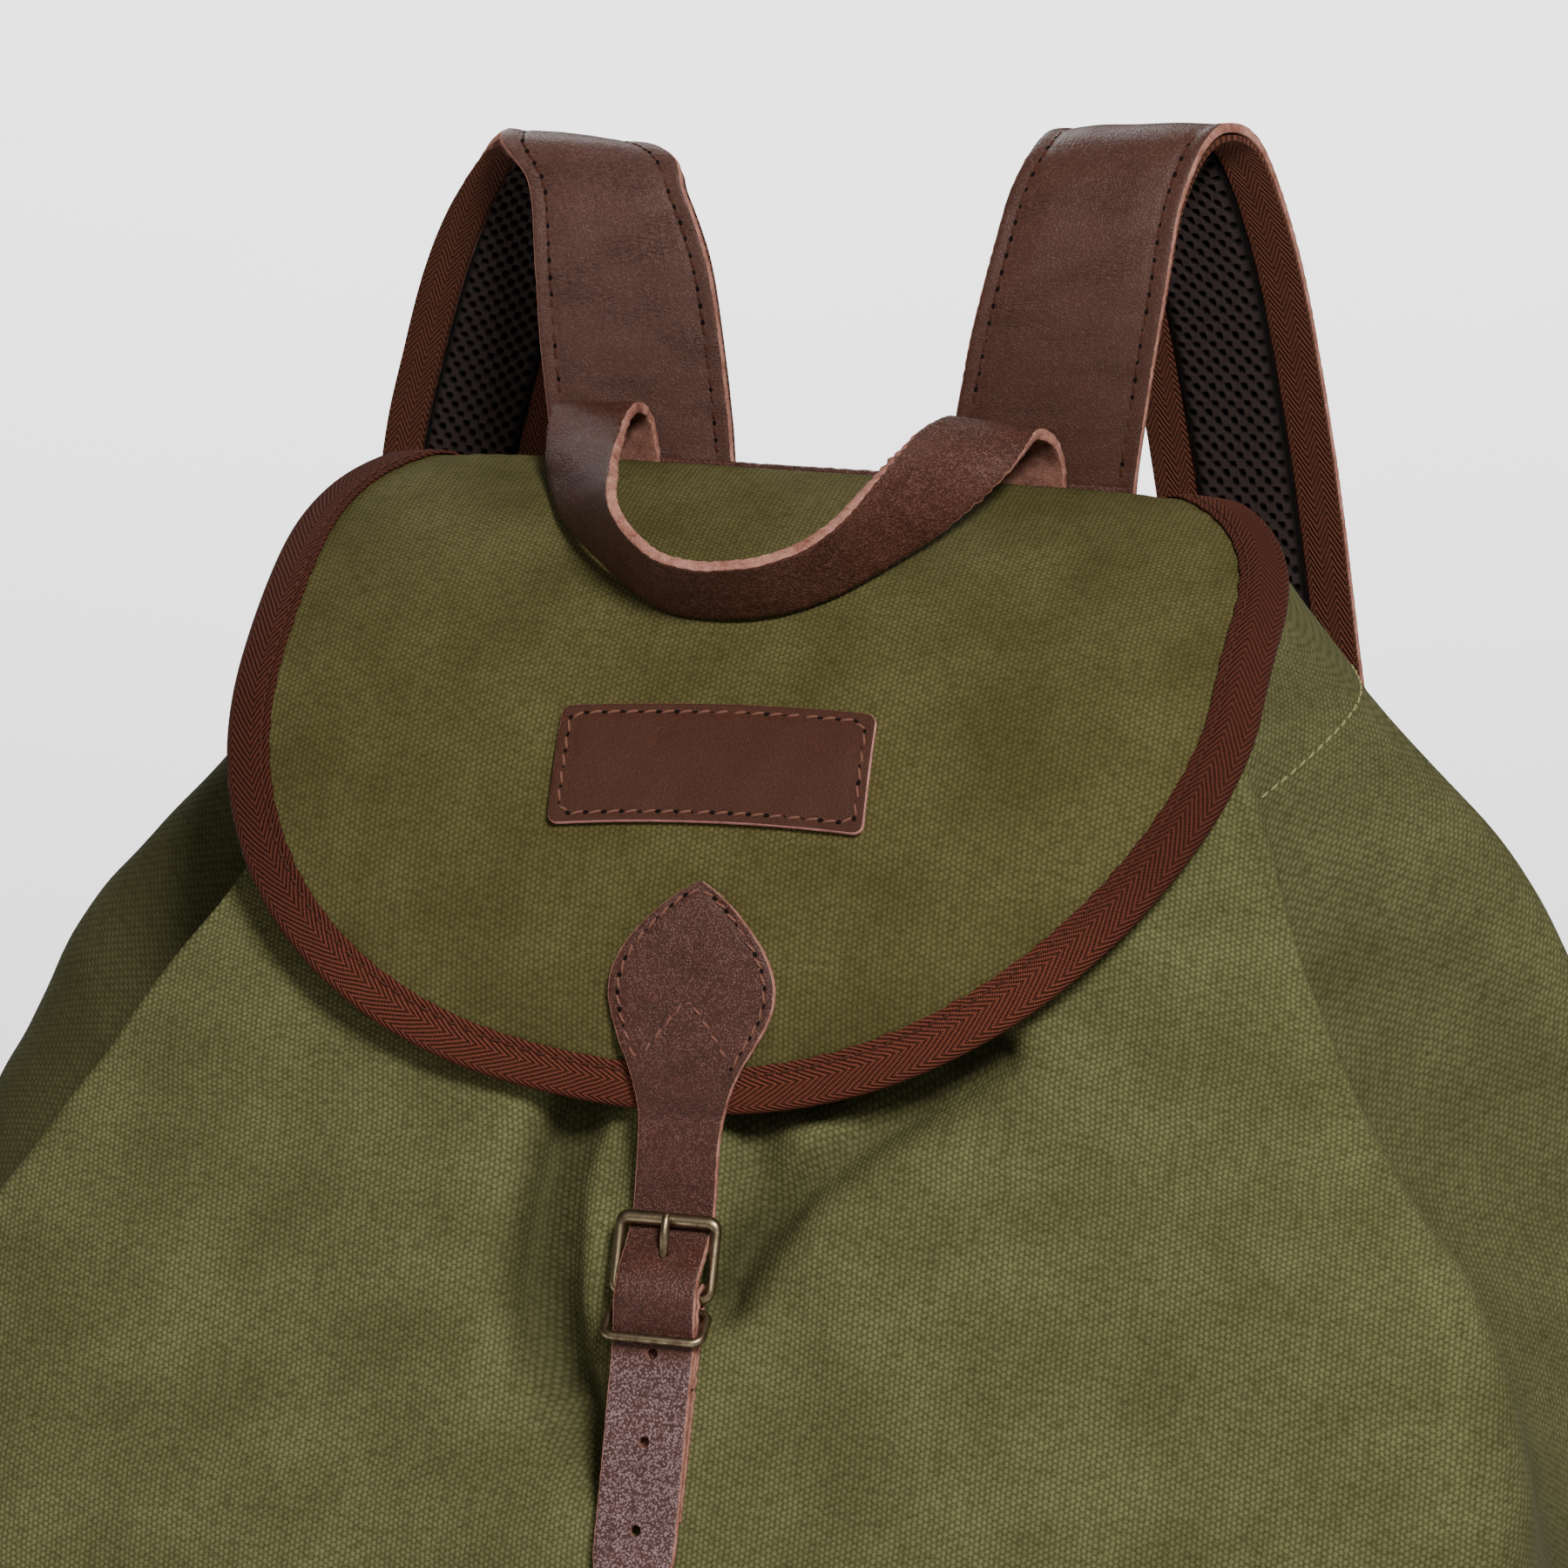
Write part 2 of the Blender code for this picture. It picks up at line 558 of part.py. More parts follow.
def cut(piece, cutter):
    hole = piece.modifiers.new(cutter.name, "BOOLEAN")
    hole.operation = "DIFFERENCE"
    hole.object = cutter


def add_cutter(name, make, middle, toward, collection):
    """A hidden cutter whose local Z axis points along toward."""
    mesh = bpy.data.meshes.new(name)
    work = bmesh.new()
    make(work)
    work.to_mesh(mesh)
    work.free()
    cutter = bpy.data.objects.new(name, mesh)
    cutter.location = Vector(tuple(float(c) * MM for c in middle))
    cutter.rotation_mode = "QUATERNION"
    cutter.rotation_quaternion = Vector(tuple(toward)).to_track_quat("Z", "X")
    cutter.hide_render = True
    cutter.display_type = "WIRE"
    collection.objects.link(cutter)
    return cutter


def round_cutter(radius, length):
    def make(work):
        bmesh.ops.create_cone(work, cap_ends=True, segments=PUNCH_SIDES, radius1=radius * MM,
                              radius2=radius * MM, depth=length * MM)
    return make


def make_closure_strap(collection, cutters):
    line, halves = [], []
    lift = BINDING_TAPE + SEAM_GAP
    for x, t, half in TAB_OUTLINE:
        rise = SEAM_GAP + lift * min(1.0, max(0.0, (t - TAB_LIFT_START) / TAB_LIFT_RUN))
        line.append(on_flap(x, t, rise))
        halves.append(half)
    for x, d, h in STRAP_RUN:
        line.append(on_front(x, d, h))
        halves.append(STRAP_HALF_WIDTH)
    halves[-1] = STRAP_TIP_HALF_WIDTH
    halves = np.array(halves)
    widths = np.tile((-1.0, 0.0, 0.0), (len(line), 1))
    strap = add_ribbon("closure_strap", "leather", line, widths, -halves, halves, 0.0, STRAP_LEATHER,
                       collection)
    off_cloth = on_front(0.0, 0.0, 1.0) - on_front(0.0, 0.0, 0.0)
    for number, d in enumerate(HOLES_D, start=1):
        punch = add_cutter(f"strap_punch_{number}", round_cutter(HOLE_RADIUS, PUNCH_LENGTH),
                           on_front(BUCKLE_X, d, STRAP_OFF_CLOTH), off_cloth, cutters)
        cut(strap, punch)
    low, high = on_front(BUCKLE_X, *PRONG_RUN[0]), on_front(BUCKLE_X, *PRONG_RUN[3])
    passage = add_cutter("prong_passage",
                         round_cutter(PRONG_RADIUS + PRONG_HOLE_CLEARANCE, PRONG_PUNCH_LENGTH),
                         (low + high) / 2.0, high - low, cutters)
    cut(strap, passage)
    return strap


def rounded_loop(width, height, radius, steps):
    """A rounded rectangle's middle line on the flat, as (across, down)."""
    corners = ((1, 1), (-1, 1), (-1, -1), (1, -1))
    loop = []
    for number, (sx, sy) in enumerate(corners):
        for i in range(steps + 1):
            angle = math.pi / 2 * (number + i / steps)
            loop.append((sx * (width / 2 - radius) + radius * math.cos(angle),
                         sy * (height / 2 - radius) + radius * math.sin(angle)))
    return loop


def add_wire(name, line, radii, closed, collection):
    """Round brass wire along a line, as a bevelled curve; radii are one for each point."""
    curve = bpy.data.curves.new(name, "CURVE")
    curve.dimensions = "3D"
    curve.bevel_depth = MM
    curve.bevel_resolution = WIRE_RESOLUTION
    curve.use_fill_caps = not closed
    spline = curve.splines.new("POLY")
    spline.points.add(len(line) - 1)
    for point, place, radius in zip(spline.points, line, radii):
        point.co = (*(float(c) * MM for c in place), 1.0)
        point.radius = radius
    spline.use_cyclic_u = closed
    curve.materials.append(material("brass", name))
    wire = bpy.data.objects.new(name, curve)
    collection.objects.link(wire)
    return wire


def wire_ring(name, middle, across, down, width, height, corner, radius, collection):
    """A closed rectangle of round wire in the plane of two unit vectors."""
    flat = rounded_loop(width, height, corner, CORNER_STEPS)
    line = [middle + u * np.asarray(across) + v * np.asarray(down) for u, v in flat]
    return add_wire(name, line, [radius] * len(line), True, collection)


def unit(vector):
    vector = np.asarray(vector, float)
    return vector / np.linalg.norm(vector)


def bar_to_bar_ring(name, first, second, width, corner, radius, collection):
    """A buckle ring whose two long bars lie at the two (d, h) places."""
    a, b = on_front(BUCKLE_X, *first), on_front(BUCKLE_X, *second)
    return wire_ring(name, (a + b) / 2.0, (1.0, 0.0, 0.0), unit(b - a), width,
                     np.linalg.norm(b - a), corner, radius, collection)


def make_prong(collection):
    """A wire from the lower bar, up through the strap's hole and over the top bar."""
    line = [on_front(BUCKLE_X, d, h) for d, h in PRONG_RUN]
    radii = [PRONG_RADIUS] * (len(line) - 1) + [PRONG_TIP_RADIUS]
    return add_wire("buckle_prong", line, radii, False, collection)


def half_turn(bar, toward, side, radius):
    """The bend of a strap round a bar: it comes in on the side given and leaves on the other."""
    turns = (math.pi * i / LOOP_STEPS for i in range(LOOP_STEPS + 1))
    return [bar + radius * (math.cos(a) * side + math.sin(a) * toward) for a in turns]


def make_buckle_strap(collection, cutters):
    """The lower strap: sewn to the front, folded over the lower bar and back on itself."""
    bar = on_front(BUCKLE_X, *LOWER_BAR)
    up_cloth = unit(on_front(0.0, -1.0, 0.0) - on_front(0.0, 0.0, 0.0))
    off_cloth = unit(on_front(0.0, 0.0, 1.0) - on_front(0.0, 0.0, 0.0))
    line = [on_front(BUCKLE_X, d, h) for d, h in LOWER_TAIL]
    line += half_turn(bar, up_cloth, off_cloth, FRAME_WIRE + LOOP_GAP)
    line += [on_front(BUCKLE_X, d, h) for d, h in LOWER_LEAD]
    widths = np.tile((1.0, 0.0, 0.0), (len(line), 1))
    strap = add_ribbon("buckle_strap", "leather", line, widths, -LOWER_HALF_WIDTH, LOWER_HALF_WIDTH,
                       0.0, LOWER_LEATHER, collection)
    size = tuple(side * MM for side in PRONG_SLOT)

    def slot_block(work):
        block = bmesh.ops.create_cube(work, size=1.0)
        bmesh.ops.scale(work, vec=size, verts=block["verts"])
    along, off = PRONG_SLOT_RISE
    middle = bar + along * up_cloth + off * off_cloth
    slot = add_cutter("prong_slot", slot_block, middle, off_cloth, cutters)
    cut(strap, slot)
    return strap


def make_handle(collection):
    line, widths, halves = ribbon_line(HANDLE_ROWS, RIBBON_STEPS)
    return add_ribbon("carry_handle", "leather", line, widths, -halves, halves, 0.0, HANDLE_LEATHER,
                      collection)


def make_yoke(collection):
    mesh = bpy.data.meshes.new("strap_yoke")
    work = bmesh.new()
    block = bmesh.ops.create_cube(work, size=1.0)
    size = (YOKE_X[1] - YOKE_X[0], YOKE_LEATHER, YOKE_Z[1] - YOKE_Z[0])
    bmesh.ops.scale(work, vec=tuple(side * MM for side in size), verts=block["verts"])
    work.to_mesh(mesh)
    work.free()
    mesh.materials.append(material("leather", "strap_yoke"))
    yoke = bpy.data.objects.new("strap_yoke", mesh)
    yoke.location = (sum(YOKE_X) / 2 * MM, YOKE_MIDDLE_Y * MM, sum(YOKE_Z) / 2 * MM)
    collection.objects.link(yoke)
    rounding = yoke.modifiers.new("cut edges", "BEVEL")
    rounding.width = YOKE_ROUND * MM
    rounding.segments = 1
    return yoke


def make_shoulder_strap(side, collection):
    """Leather, mesh pad and edge tapes down to a ring, then the plain strap to the lower corner."""
    rows = SHOULDER_ROWS[side]
    line, widths, halves = ribbon_line(rows, RIBBON_STEPS)
    end, down = line[-1], unit(line[-1] - line[-2])
    across = unit(widths[-1] - np.dot(widths[-1], down) * down)
    out = np.cross(across, down)
    radius = RING_WIRE + LOOP_GAP
    top_bar = end + TONGUE_LENGTH * down - radius * out
    tongue = [end + TONGUE_LENGTH / 2 * down]
    tongue += half_turn(top_bar, down, out, radius)
    tongue.append(top_bar - radius * out - LOOP_TAIL * down)
    leather_line = np.concatenate((line, tongue))
    leather_widths = np.concatenate((widths, np.tile(across, (len(tongue), 1))))
    leather_halves = np.concatenate((halves, np.full(len(tongue), TONGUE_HALF_WIDTH)))
    add_ribbon("shoulder_strap_" + side, "leather", leather_line, leather_widths, -leather_halves,
               leather_halves, 0.0, SHOULDER_LEATHER, collection)

    pad = slice(int(PAD_START_ROW * RIBBON_STEPS), (len(rows) - 2) * RIBBON_STEPS + 1)
    pad_line, pad_widths, share = line[pad], widths[pad], halves[pad] / SHOULDER_HALF_WIDTH
    edge = MESH_HALF_WIDTH + PAD_SEAM
    outward = -1.0 if side == "left" else 1.0
    add_ribbon("strap_mesh_" + side, "mesh", pad_line, pad_widths, -MESH_HALF_WIDTH * share,
               MESH_HALF_WIDTH * share, -PAD_GAP - MESH_PAD, -PAD_GAP, collection)
    for place, sign in (("outer", outward), ("inner", -outward)):
        near, far = sorted((sign * edge, sign * TAPE_EDGE))
        add_ribbon("strap_tape_" + place + "_" + side, "tape", pad_line, pad_widths, near * share,
                   far * share, -PAD_GAP - STRAP_TAPE, -PAD_GAP, collection)

    lower_bar = top_bar + RING_HEIGHT * down
    wire_ring("strap_ring_" + side, (top_bar + lower_bar) / 2.0, across, down, RING_WIDTH, RING_HEIGHT,
              RING_CORNER, RING_WIRE, collection)
    make_lower_strap(side, lower_bar, across, collection)


def make_lower_strap(side, bar, across, collection):
    """A strap from the back's lower corner up to the ring, round its bar and back on itself."""
    corner_x = math.copysign(ANCHOR_X, bar[0])
    corner_y = BACK_PLANE + SEAM_GAP + SIDE_STRAP_LEATHER
    corner = [np.array((corner_x, corner_y, z)) for z in ANCHOR_HEIGHTS]
    radius = RING_WIRE + LOOP_GAP
    up = unit(bar - corner[0])
    bag_side = unit(np.cross(across, up))
    lead = bar + radius * bag_side
    path = [corner[1], corner[1] + (corner[0] - corner[1]) * SEWN_SHARE]
    path += [corner[0] + (lead - corner[0]) * share for share in LOWER_STRAP_SHARES]
    path += half_turn(bar, up, bag_side, radius)
    path.append(bar - radius * bag_side - LOOP_TAIL * up)
    turned = np.array((0.0, 0.0) + LOWER_STRAP_SHARES + (1.0,) * (LOOP_STEPS + 2))[:, None]
    widths = (1.0 - turned) * np.array((1.0, 0.0, 0.0)) + turned * across
    add_ribbon("lower_strap_" + side, "leather", path, widths, -TONGUE_HALF_WIDTH, TONGUE_HALF_WIDTH,
               0.0, SIDE_STRAP_LEATHER, collection)


def main():
    clear_scene()
    parts = new_collection("mountain_backpack")
    cutters = new_collection("cutters")
    make_body(parts)
    make_flap(parts)
    make_binding(parts)
    make_patch(parts)
    make_closure_strap(parts, cutters)
    bar_to_bar_ring("buckle_frame", TOP_BAR, LOWER_BAR, FRAME_WIDTH, FRAME_CORNER, FRAME_WIRE, parts)
    bar_to_bar_ring("keeper_loop", KEEPER_BACK, KEEPER_FRONT, KEEPER_WIDTH, KEEPER_CORNER, KEEPER_WIRE,
                    parts)
    make_prong(parts)
    make_buckle_strap(parts, cutters)
    make_handle(parts)
    make_yoke(parts)
    for side in SHOULDER_ROWS:
        make_shoulder_strap(side, parts)


main()
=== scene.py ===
"""Looks of the mountain backpack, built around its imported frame.

Lengths in the tables and names are in millimetres and angles in degrees; meshes are made in metres.
"""
import json
import math

import bmesh
import bpy
import numpy as np
from mathutils import Matrix, Vector

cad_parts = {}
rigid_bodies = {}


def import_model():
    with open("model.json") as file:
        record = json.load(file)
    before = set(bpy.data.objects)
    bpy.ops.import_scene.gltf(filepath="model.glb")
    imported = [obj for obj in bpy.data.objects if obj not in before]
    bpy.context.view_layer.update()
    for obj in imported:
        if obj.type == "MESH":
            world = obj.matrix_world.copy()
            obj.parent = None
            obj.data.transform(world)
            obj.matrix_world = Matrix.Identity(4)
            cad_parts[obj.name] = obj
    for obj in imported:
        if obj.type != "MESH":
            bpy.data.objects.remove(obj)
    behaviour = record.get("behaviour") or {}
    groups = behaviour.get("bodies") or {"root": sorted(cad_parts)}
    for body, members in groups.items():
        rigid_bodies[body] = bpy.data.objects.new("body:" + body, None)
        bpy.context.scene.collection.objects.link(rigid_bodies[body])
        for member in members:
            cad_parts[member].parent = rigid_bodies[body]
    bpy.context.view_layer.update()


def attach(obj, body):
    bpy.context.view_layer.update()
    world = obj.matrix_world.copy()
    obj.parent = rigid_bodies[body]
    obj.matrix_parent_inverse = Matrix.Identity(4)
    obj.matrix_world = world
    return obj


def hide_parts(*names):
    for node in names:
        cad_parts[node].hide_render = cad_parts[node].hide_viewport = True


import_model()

MM = 0.001
FULL_TURN, QUARTER_TURN = 2.0 * math.pi, math.pi / 2.0
CLOTH = "cloth"
# Steps that a spline takes from one row of a table to the next
STEPS = 8

# Camera: the photograph's viewing angle and framing
CAMERA_PLACE = (0.4549, -1.5871, 0.8788)
CAMERA_AZIMUTH, CAMERA_ELEVATION, CAMERA_ROLL = 15.504, 17.367, 0.421
CAMERA_TURNS = (("Z", CAMERA_AZIMUTH), ("X", 90.0 - CAMERA_ELEVATION), ("Z", -CAMERA_ROLL))
CAMERA_LENS, CAMERA_SENSOR = 158.4, 36.0


def add_object(name, data):
    thing = bpy.data.objects.new(name, data)
    bpy.context.scene.collection.objects.link(thing)
    return thing


def make_camera():
    data = bpy.data.cameras.new("camera")
    data.lens = CAMERA_LENS
    data.sensor_width = CAMERA_SENSOR
    placed = Matrix.Translation(CAMERA_PLACE)
    for axis, angle in CAMERA_TURNS:
        placed = placed @ Matrix.Rotation(math.radians(angle), 4, axis)
    camera = add_object("camera", data)
    camera.matrix_world = placed
    bpy.context.scene.camera = camera


make_camera()


# Number helpers


def unit(v):
    v = np.asarray(v, float)
    return v / np.linalg.norm(v, axis=-1, keepdims=True)


def through(rows, places):
    """Points on a smooth curve through the rows, at places counted in rows."""
    rows = np.asarray(rows, float)
    last = len(rows) - 1
    places = np.asarray(places, float)
    i = np.clip(places.astype(int), 0, last - 1)
    f = (places - i)[:, None]
    p1, p2 = rows[i], rows[i + 1]
    p0 = np.where((i > 0)[:, None], rows[np.maximum(i - 1, 0)], 2.0 * p1 - p2)
    p3 = np.where((i + 2 <= last)[:, None], rows[np.minimum(i + 2, last)], 2.0 * p2 - p1)
    m1, m2 = (p2 - p0) / 2.0, (p3 - p1) / 2.0
    return ((2 * f**3 - 3 * f**2 + 1) * p1 + (f**3 - 2 * f**2 + f) * m1
            + (3 * f**2 - 2 * f**3) * p2 + (f**3 - f**2) * m2)


def spline(rows, steps=STEPS):
    return through(rows, np.linspace(0, len(rows) - 1, (len(rows) - 1) * steps + 1))


def lengths(points):
    """Distance run along a line of points from its start, or down each column of a grid of them."""
    steps = np.linalg.norm(np.diff(points, axis=0), axis=-1)
    return np.concatenate((np.zeros((1, *steps.shape[1:])), np.cumsum(steps, axis=0)))


def table_at(where, run, table):
    """Rows of a table at the given places, where run holds the places of its own rows."""
    return np.stack([np.interp(where, run, column) for column in table.T], axis=-1)


def even_steps(table, count):
    """The table's rows at even steps along the line of points in its first three columns."""
    run = lengths(table[:, :3])
    return table_at(np.linspace(0.0, run[-1], count), run, table)


def tangents(points):
    return unit(np.concatenate((points[1:], points[-1:])) - np.concatenate((points[:1], points[:-1])))


def wrapped(grid):
    """The grid with its first column once more at its end."""
    return np.concatenate((grid, grid[:, :1]), axis=1)


def waves(points, size, seed, count=7):
    """A smooth irregular value from -1 to 1 at each point, that varies over about the given size."""
    rng = np.random.default_rng(seed)
    points = np.asarray(points, float)
    total = np.zeros(points.shape[:-1])
    for _ in range(count):
        direction = unit(rng.normal(size=points.shape[-1]))
        pitch = size * rng.uniform(0.7, 1.6)
        total += np.sin(points @ direction * (FULL_TURN / pitch) + rng.uniform(0.0, FULL_TURN))
    return total / math.sqrt(count) / 1.5


def bump_at(value, middle, width):
    return np.exp(-((value - middle) / width) ** 2)


def smooth_step(value, low, high):
    t = np.clip((value - low) / (high - low), 0.0, 1.0)
    return t * t * (3.0 - 2.0 * t)


# Materials


class Channel:
    """A number that varies over a surface, with arithmetic that adds the nodes for it."""

    def __init__(self, finish, socket):
        self.finish, self.socket = finish, socket

    def __add__(self, other):
        return self.finish.math("ADD", self, other)

    def __sub__(self, other):
        return self.finish.math("SUBTRACT", self, other)

    def __mul__(self, other):
        return self.finish.math("MULTIPLY", self, other)

    def __abs__(self):
        return self.finish.math("ABSOLUTE", self)

    def sine(self):
        return self.finish.math("SINE", self)

    def cosine(self):
        return self.finish.math("COSINE", self)

    def fold(self, size):
        return self.finish.math("PINGPONG", self, size)

    def between(self, low, high, out_low=0.0, out_high=1.0):
        """Stretches what lies from low to high to the other two numbers, and cuts the rest off."""
        node = self.finish.node("ShaderNodeMapRange")
        return self.finish.filled(node, self, low, high, out_low, out_high)


class Finish:
    """A node material, with short ways to add and join its nodes."""

    def __init__(self, name, roughness=0.8, **values):
        self.material = bpy.data.materials.new(name)
        self.material.use_nodes = True
        self.tree = self.material.node_tree
        self.shader = self.tree.nodes["Principled BSDF"]
        self.shader.inputs["Roughness"].default_value = roughness
        for key, value in values.items():
            self.shader.inputs[key.replace("_", " ")].default_value = value

    def put(self, socket, value):
        if isinstance(value, Channel):
            value = value.socket
        if isinstance(value, bpy.types.NodeSocket):
            self.tree.links.new(value, socket)
        else:
            socket.default_value = value

    def node(self, kind, **settings):
        node = self.tree.nodes.new(kind)
        for key, value in settings.items():
            setattr(node, key, value)
        return node

    def filled(self, node, *values):
        for socket, value in zip(node.inputs, values):
            self.put(socket, value)
        return Channel(self, node.outputs[0])

    def math(self, operation, *values):
        return self.filled(self.node("ShaderNodeMath", operation=operation), *values)

    def blend(self, share, a, b):
        node = self.node("ShaderNodeMix", data_type="RGBA")
        for key, value in (("Factor", share), ("A", a), ("B", b)):
            self.put(node.inputs[key], value)
        return node.outputs["Result"]

    def place(self):
        """Where a point lies in the object, in millimetres."""
        node = self.node("ShaderNodeVectorMath", operation="SCALE")
        self.put(node.inputs[0], self.node("ShaderNodeTexCoord").outputs["Object"])
        self.put(node.inputs["Scale"], 1.0 / MM)
        return node.outputs[0]

    def cloth(self):
        """Where a point lies on the flat piece that it was cut from, across and along, and its painted shade.
        """
        flat = self.node("ShaderNodeAttribute", attribute_name=CLOTH).outputs["Vector"]
        parts = self.node("ShaderNodeSeparateXYZ")
        self.put(parts.inputs[0], flat)
        return flat, *(Channel(self, output) for output in parts.outputs)

    def texture(self, kind, vector, size, output, **settings):
        """A texture node whose pattern has the given size in millimetres, or one for each direction."""
        stretched = self.node("ShaderNodeVectorMath", operation="MULTIPLY")
        self.put(stretched.inputs[0], vector)
        stretched.inputs[1].default_value = tuple(1.0 / s for s in np.broadcast_to(size, 3))
        node = self.node(kind)
        self.put(node.inputs["Vector"], stretched.outputs[0])
        for key, value in settings.items():
            node.inputs[key].default_value = value
        return Channel(self, node.outputs[output])

    def noise(self, vector, size, detail=2.0, roughness=0.5):
        return self.texture("ShaderNodeTexNoise", vector, size, "Fac", Scale=1.0, Detail=detail,
                            Roughness=roughness)

    def cells(self, vector, size):
        return self.texture("ShaderNodeTexVoronoi", vector, size, "Distance", Scale=1.0)

    def relief(self, height, depth, strength=1.0):
        """A bump of the given depth in millimetres."""
        node = self.node("ShaderNodeBump")
        for key, value in (("Strength", strength), ("Distance", depth * MM), ("Height", height)):
            self.put(node.inputs[key], value)
        return node.outputs[0]

    def done(self, colour, normal=None, roughness=None):
        for key, value in (("Base Color", colour), ("Normal", normal), ("Roughness", roughness)):
            if value is not None:
                self.put(self.shader.inputs[key], value)
        return self.material


def rgb(r, g, b):
    """A colour from its red, green and blue as seen, from 0 to 255."""
    seen = (r / 255.0, g / 255.0, b / 255.0)
    return (*(c / 12.92 if c <= 0.04045 else ((c + 0.055) / 1.055) ** 2.4 for c in seen), 1.0)


def mixed(first, share, second=(0.0,) * 4, second_share=0.0):
    """A sum of two colours, each by its share."""
    return tuple(share * a + second_share * b for a, b in zip(first, second))


# Half the pitch of the canvas threads
WEAVE_ACROSS, WEAVE_ALONG = 1.33, 0.775


def canvas_finish(name, light, dark, deep, relief=0.7):
    """Waxed duck: round thread tops in staggered columns, pits between them darkened as painted shade, and
    soft blotches.
    """
    f = Finish(name, 0.9, Specular_IOR_Level=0.08)
    flat, across, along, shade = f.cloth()
    wander = (f.noise(flat, 5.0, 1.0) - 0.5) * 1.8
    turn = across * (math.pi / WEAVE_ACROSS) + wander
    rows = (along * (math.pi / WEAVE_ALONG) + wander).cosine()
    tops = (turn.cosine() * rows + (turn * 2.0).cosine() * 0.6).between(-1.0, 0.6)
    uneven = f.noise(flat, (3.2, 1.6, 5.0)).between(0.3, 0.7, 0.35, 1.1)
    height = tops * uneven + f.noise(flat, 0.7, 3.0) * 0.7
    blotch = f.noise(flat, 30.0, 3.0, 0.55).between(0.35, 0.65)
    colour = f.blend(height.between(0.1, 1.1), deep, f.blend(blotch, dark, light))
    # Painted shade from the piece's third channel
    colour = f.blend(shade, colour, mixed(light, 0.2))
    return f.done(colour, f.relief(height, 0.2, relief))


def tape_finish(name, light, dark, column=5.2, rib_pitch=2.3):
    """Herringbone tape: slanted ribs that turn back in columns, each rib crossed by fine threads."""
    f = Finish(name, 0.85, Specular_IOR_Level=0.1)
    flat, across, along, shade = f.cloth()
    fold = across.fold(column) * 1.9 + (f.noise(flat, 6.0, 1.0) - 0.5) * 1.2
    rib = ((along + fold) * (FULL_TURN / rib_pitch)).sine()
    thread = ((along - fold * 0.4) * (FULL_TURN / 0.75)).sine()
    height = rib + thread * 0.45 + f.noise(flat, 0.7, 3.0) * 1.4
    colour = f.blend(height.between(-0.7, 1.6), dark, light)
    # Painted shade from the piece's third channel
    return f.done(f.blend(shade, colour, dark), f.relief(height, 0.3, 0.9))


def leather_finish(name, light, dark, creases=1.0, roughness=0.45, pebble=1.0, sheen_specks=0.4, sheen_from=None):
    """Oiled leather: small pebbles whose tops are painted pale as sheen, fine creases across the strap and a
    mottled tone.

    Its last argument is how far along the strap its painted grey sheen starts.
    """
    f = Finish(name, roughness, Specular_IOR_Level=0.26)
    flat, _, along, _ = f.cloth()
    uneven = f.noise(flat, 2.6).between(0.3, 0.7, 0.4, 1.1)
    pebbles = f.cells(flat, 0.6).between(0.12, 0.62, 1.0, 0.0) * (uneven * pebble)
    fine = f.noise(flat, 0.4, 2.0, 0.6)
    fibre = abs(f.noise(flat, (3.0, 0.55, 9.0), 1.0) - 0.5)
    where = f.noise(flat, (24.0, 12.0, 20.0), 1.0).between(0.45, 0.65)
    line = fibre.between(0.0, 0.035, 1.0, 0.0) * (where * creases)
    height = pebbles + fine * 0.5 - line * 0.7
    body = f.blend(f.noise(flat, 11.0, 3.0).between(0.3, 0.7), mixed(light, 0.75, dark, 0.25), light)
    colour = f.blend(height.between(0.0, 0.9), dark, body)
    # Painted sheen: pale, slightly grey tops on the pebbles
    speck_sheen = pebbles.between(0.35, 1.0) * fine.between(0.3, 0.6, 0.1, sheen_specks)
    colour = f.blend(speck_sheen, colour, mixed(light, 1.25, (1.0,) * 4, 0.035))
    # Painted sheen: past the given place along the strap the pebbles are painted grey
    if sheen_from is not None:
        grey_sheen = along.between(sheen_from, sheen_from + 5.0)
        colour = f.blend(pebbles.between(0.0, 0.7, 0.05, 0.72) * grey_sheen, colour, SHEEN_GREY)
    shine = fine.between(0.3, 0.7, roughness - 0.06, roughness + 0.1)
    return f.done(colour, f.relief(height, 0.16, 0.9), shine)


def raw_finish(name, light, dark):
    """A cut edge or flesh side: matt, fibrous and paler."""
    f = Finish(name, 0.95, Specular_IOR_Level=0.15)
    fuzz = f.noise(f.place(), 0.5, 4.0, 0.7)
    tone = f.noise(f.place(), 5.0, 3.0, 0.6)
    return f.done(f.blend((fuzz + tone).between(0.75, 1.25), dark, light), f.relief(fuzz, 0.35, 0.9))


def thread_finish(name, light, dark):
    f = Finish(name, 0.7, Specular_IOR_Level=0.15)
    twist = f.node("ShaderNodeTexWave", wave_type="BANDS", bands_direction="DIAGONAL")
    f.put(twist.inputs["Vector"], f.place())
    twist.inputs["Scale"].default_value = 1.1
    turns = twist.outputs["Fac"]
    return f.done(f.blend(turns, dark, light), f.relief(turns, 0.1))


def brass_finish(name, light, dark):
    """Old brass: brown film in patches, rubbed brighter elsewhere."""
    f = Finish(name, 0.36, Metallic=1.0)
    film = f.noise(f.place(), 4.0, 5.0, 0.65).between(0.38, 0.62)
    speck = f.noise(f.place(), 0.6, 3.0, 0.6)
    return f.done(f.blend(film, dark, light), f.relief(speck, 0.05, 0.5), film.between(0.0, 1.0, 0.44, 0.3))


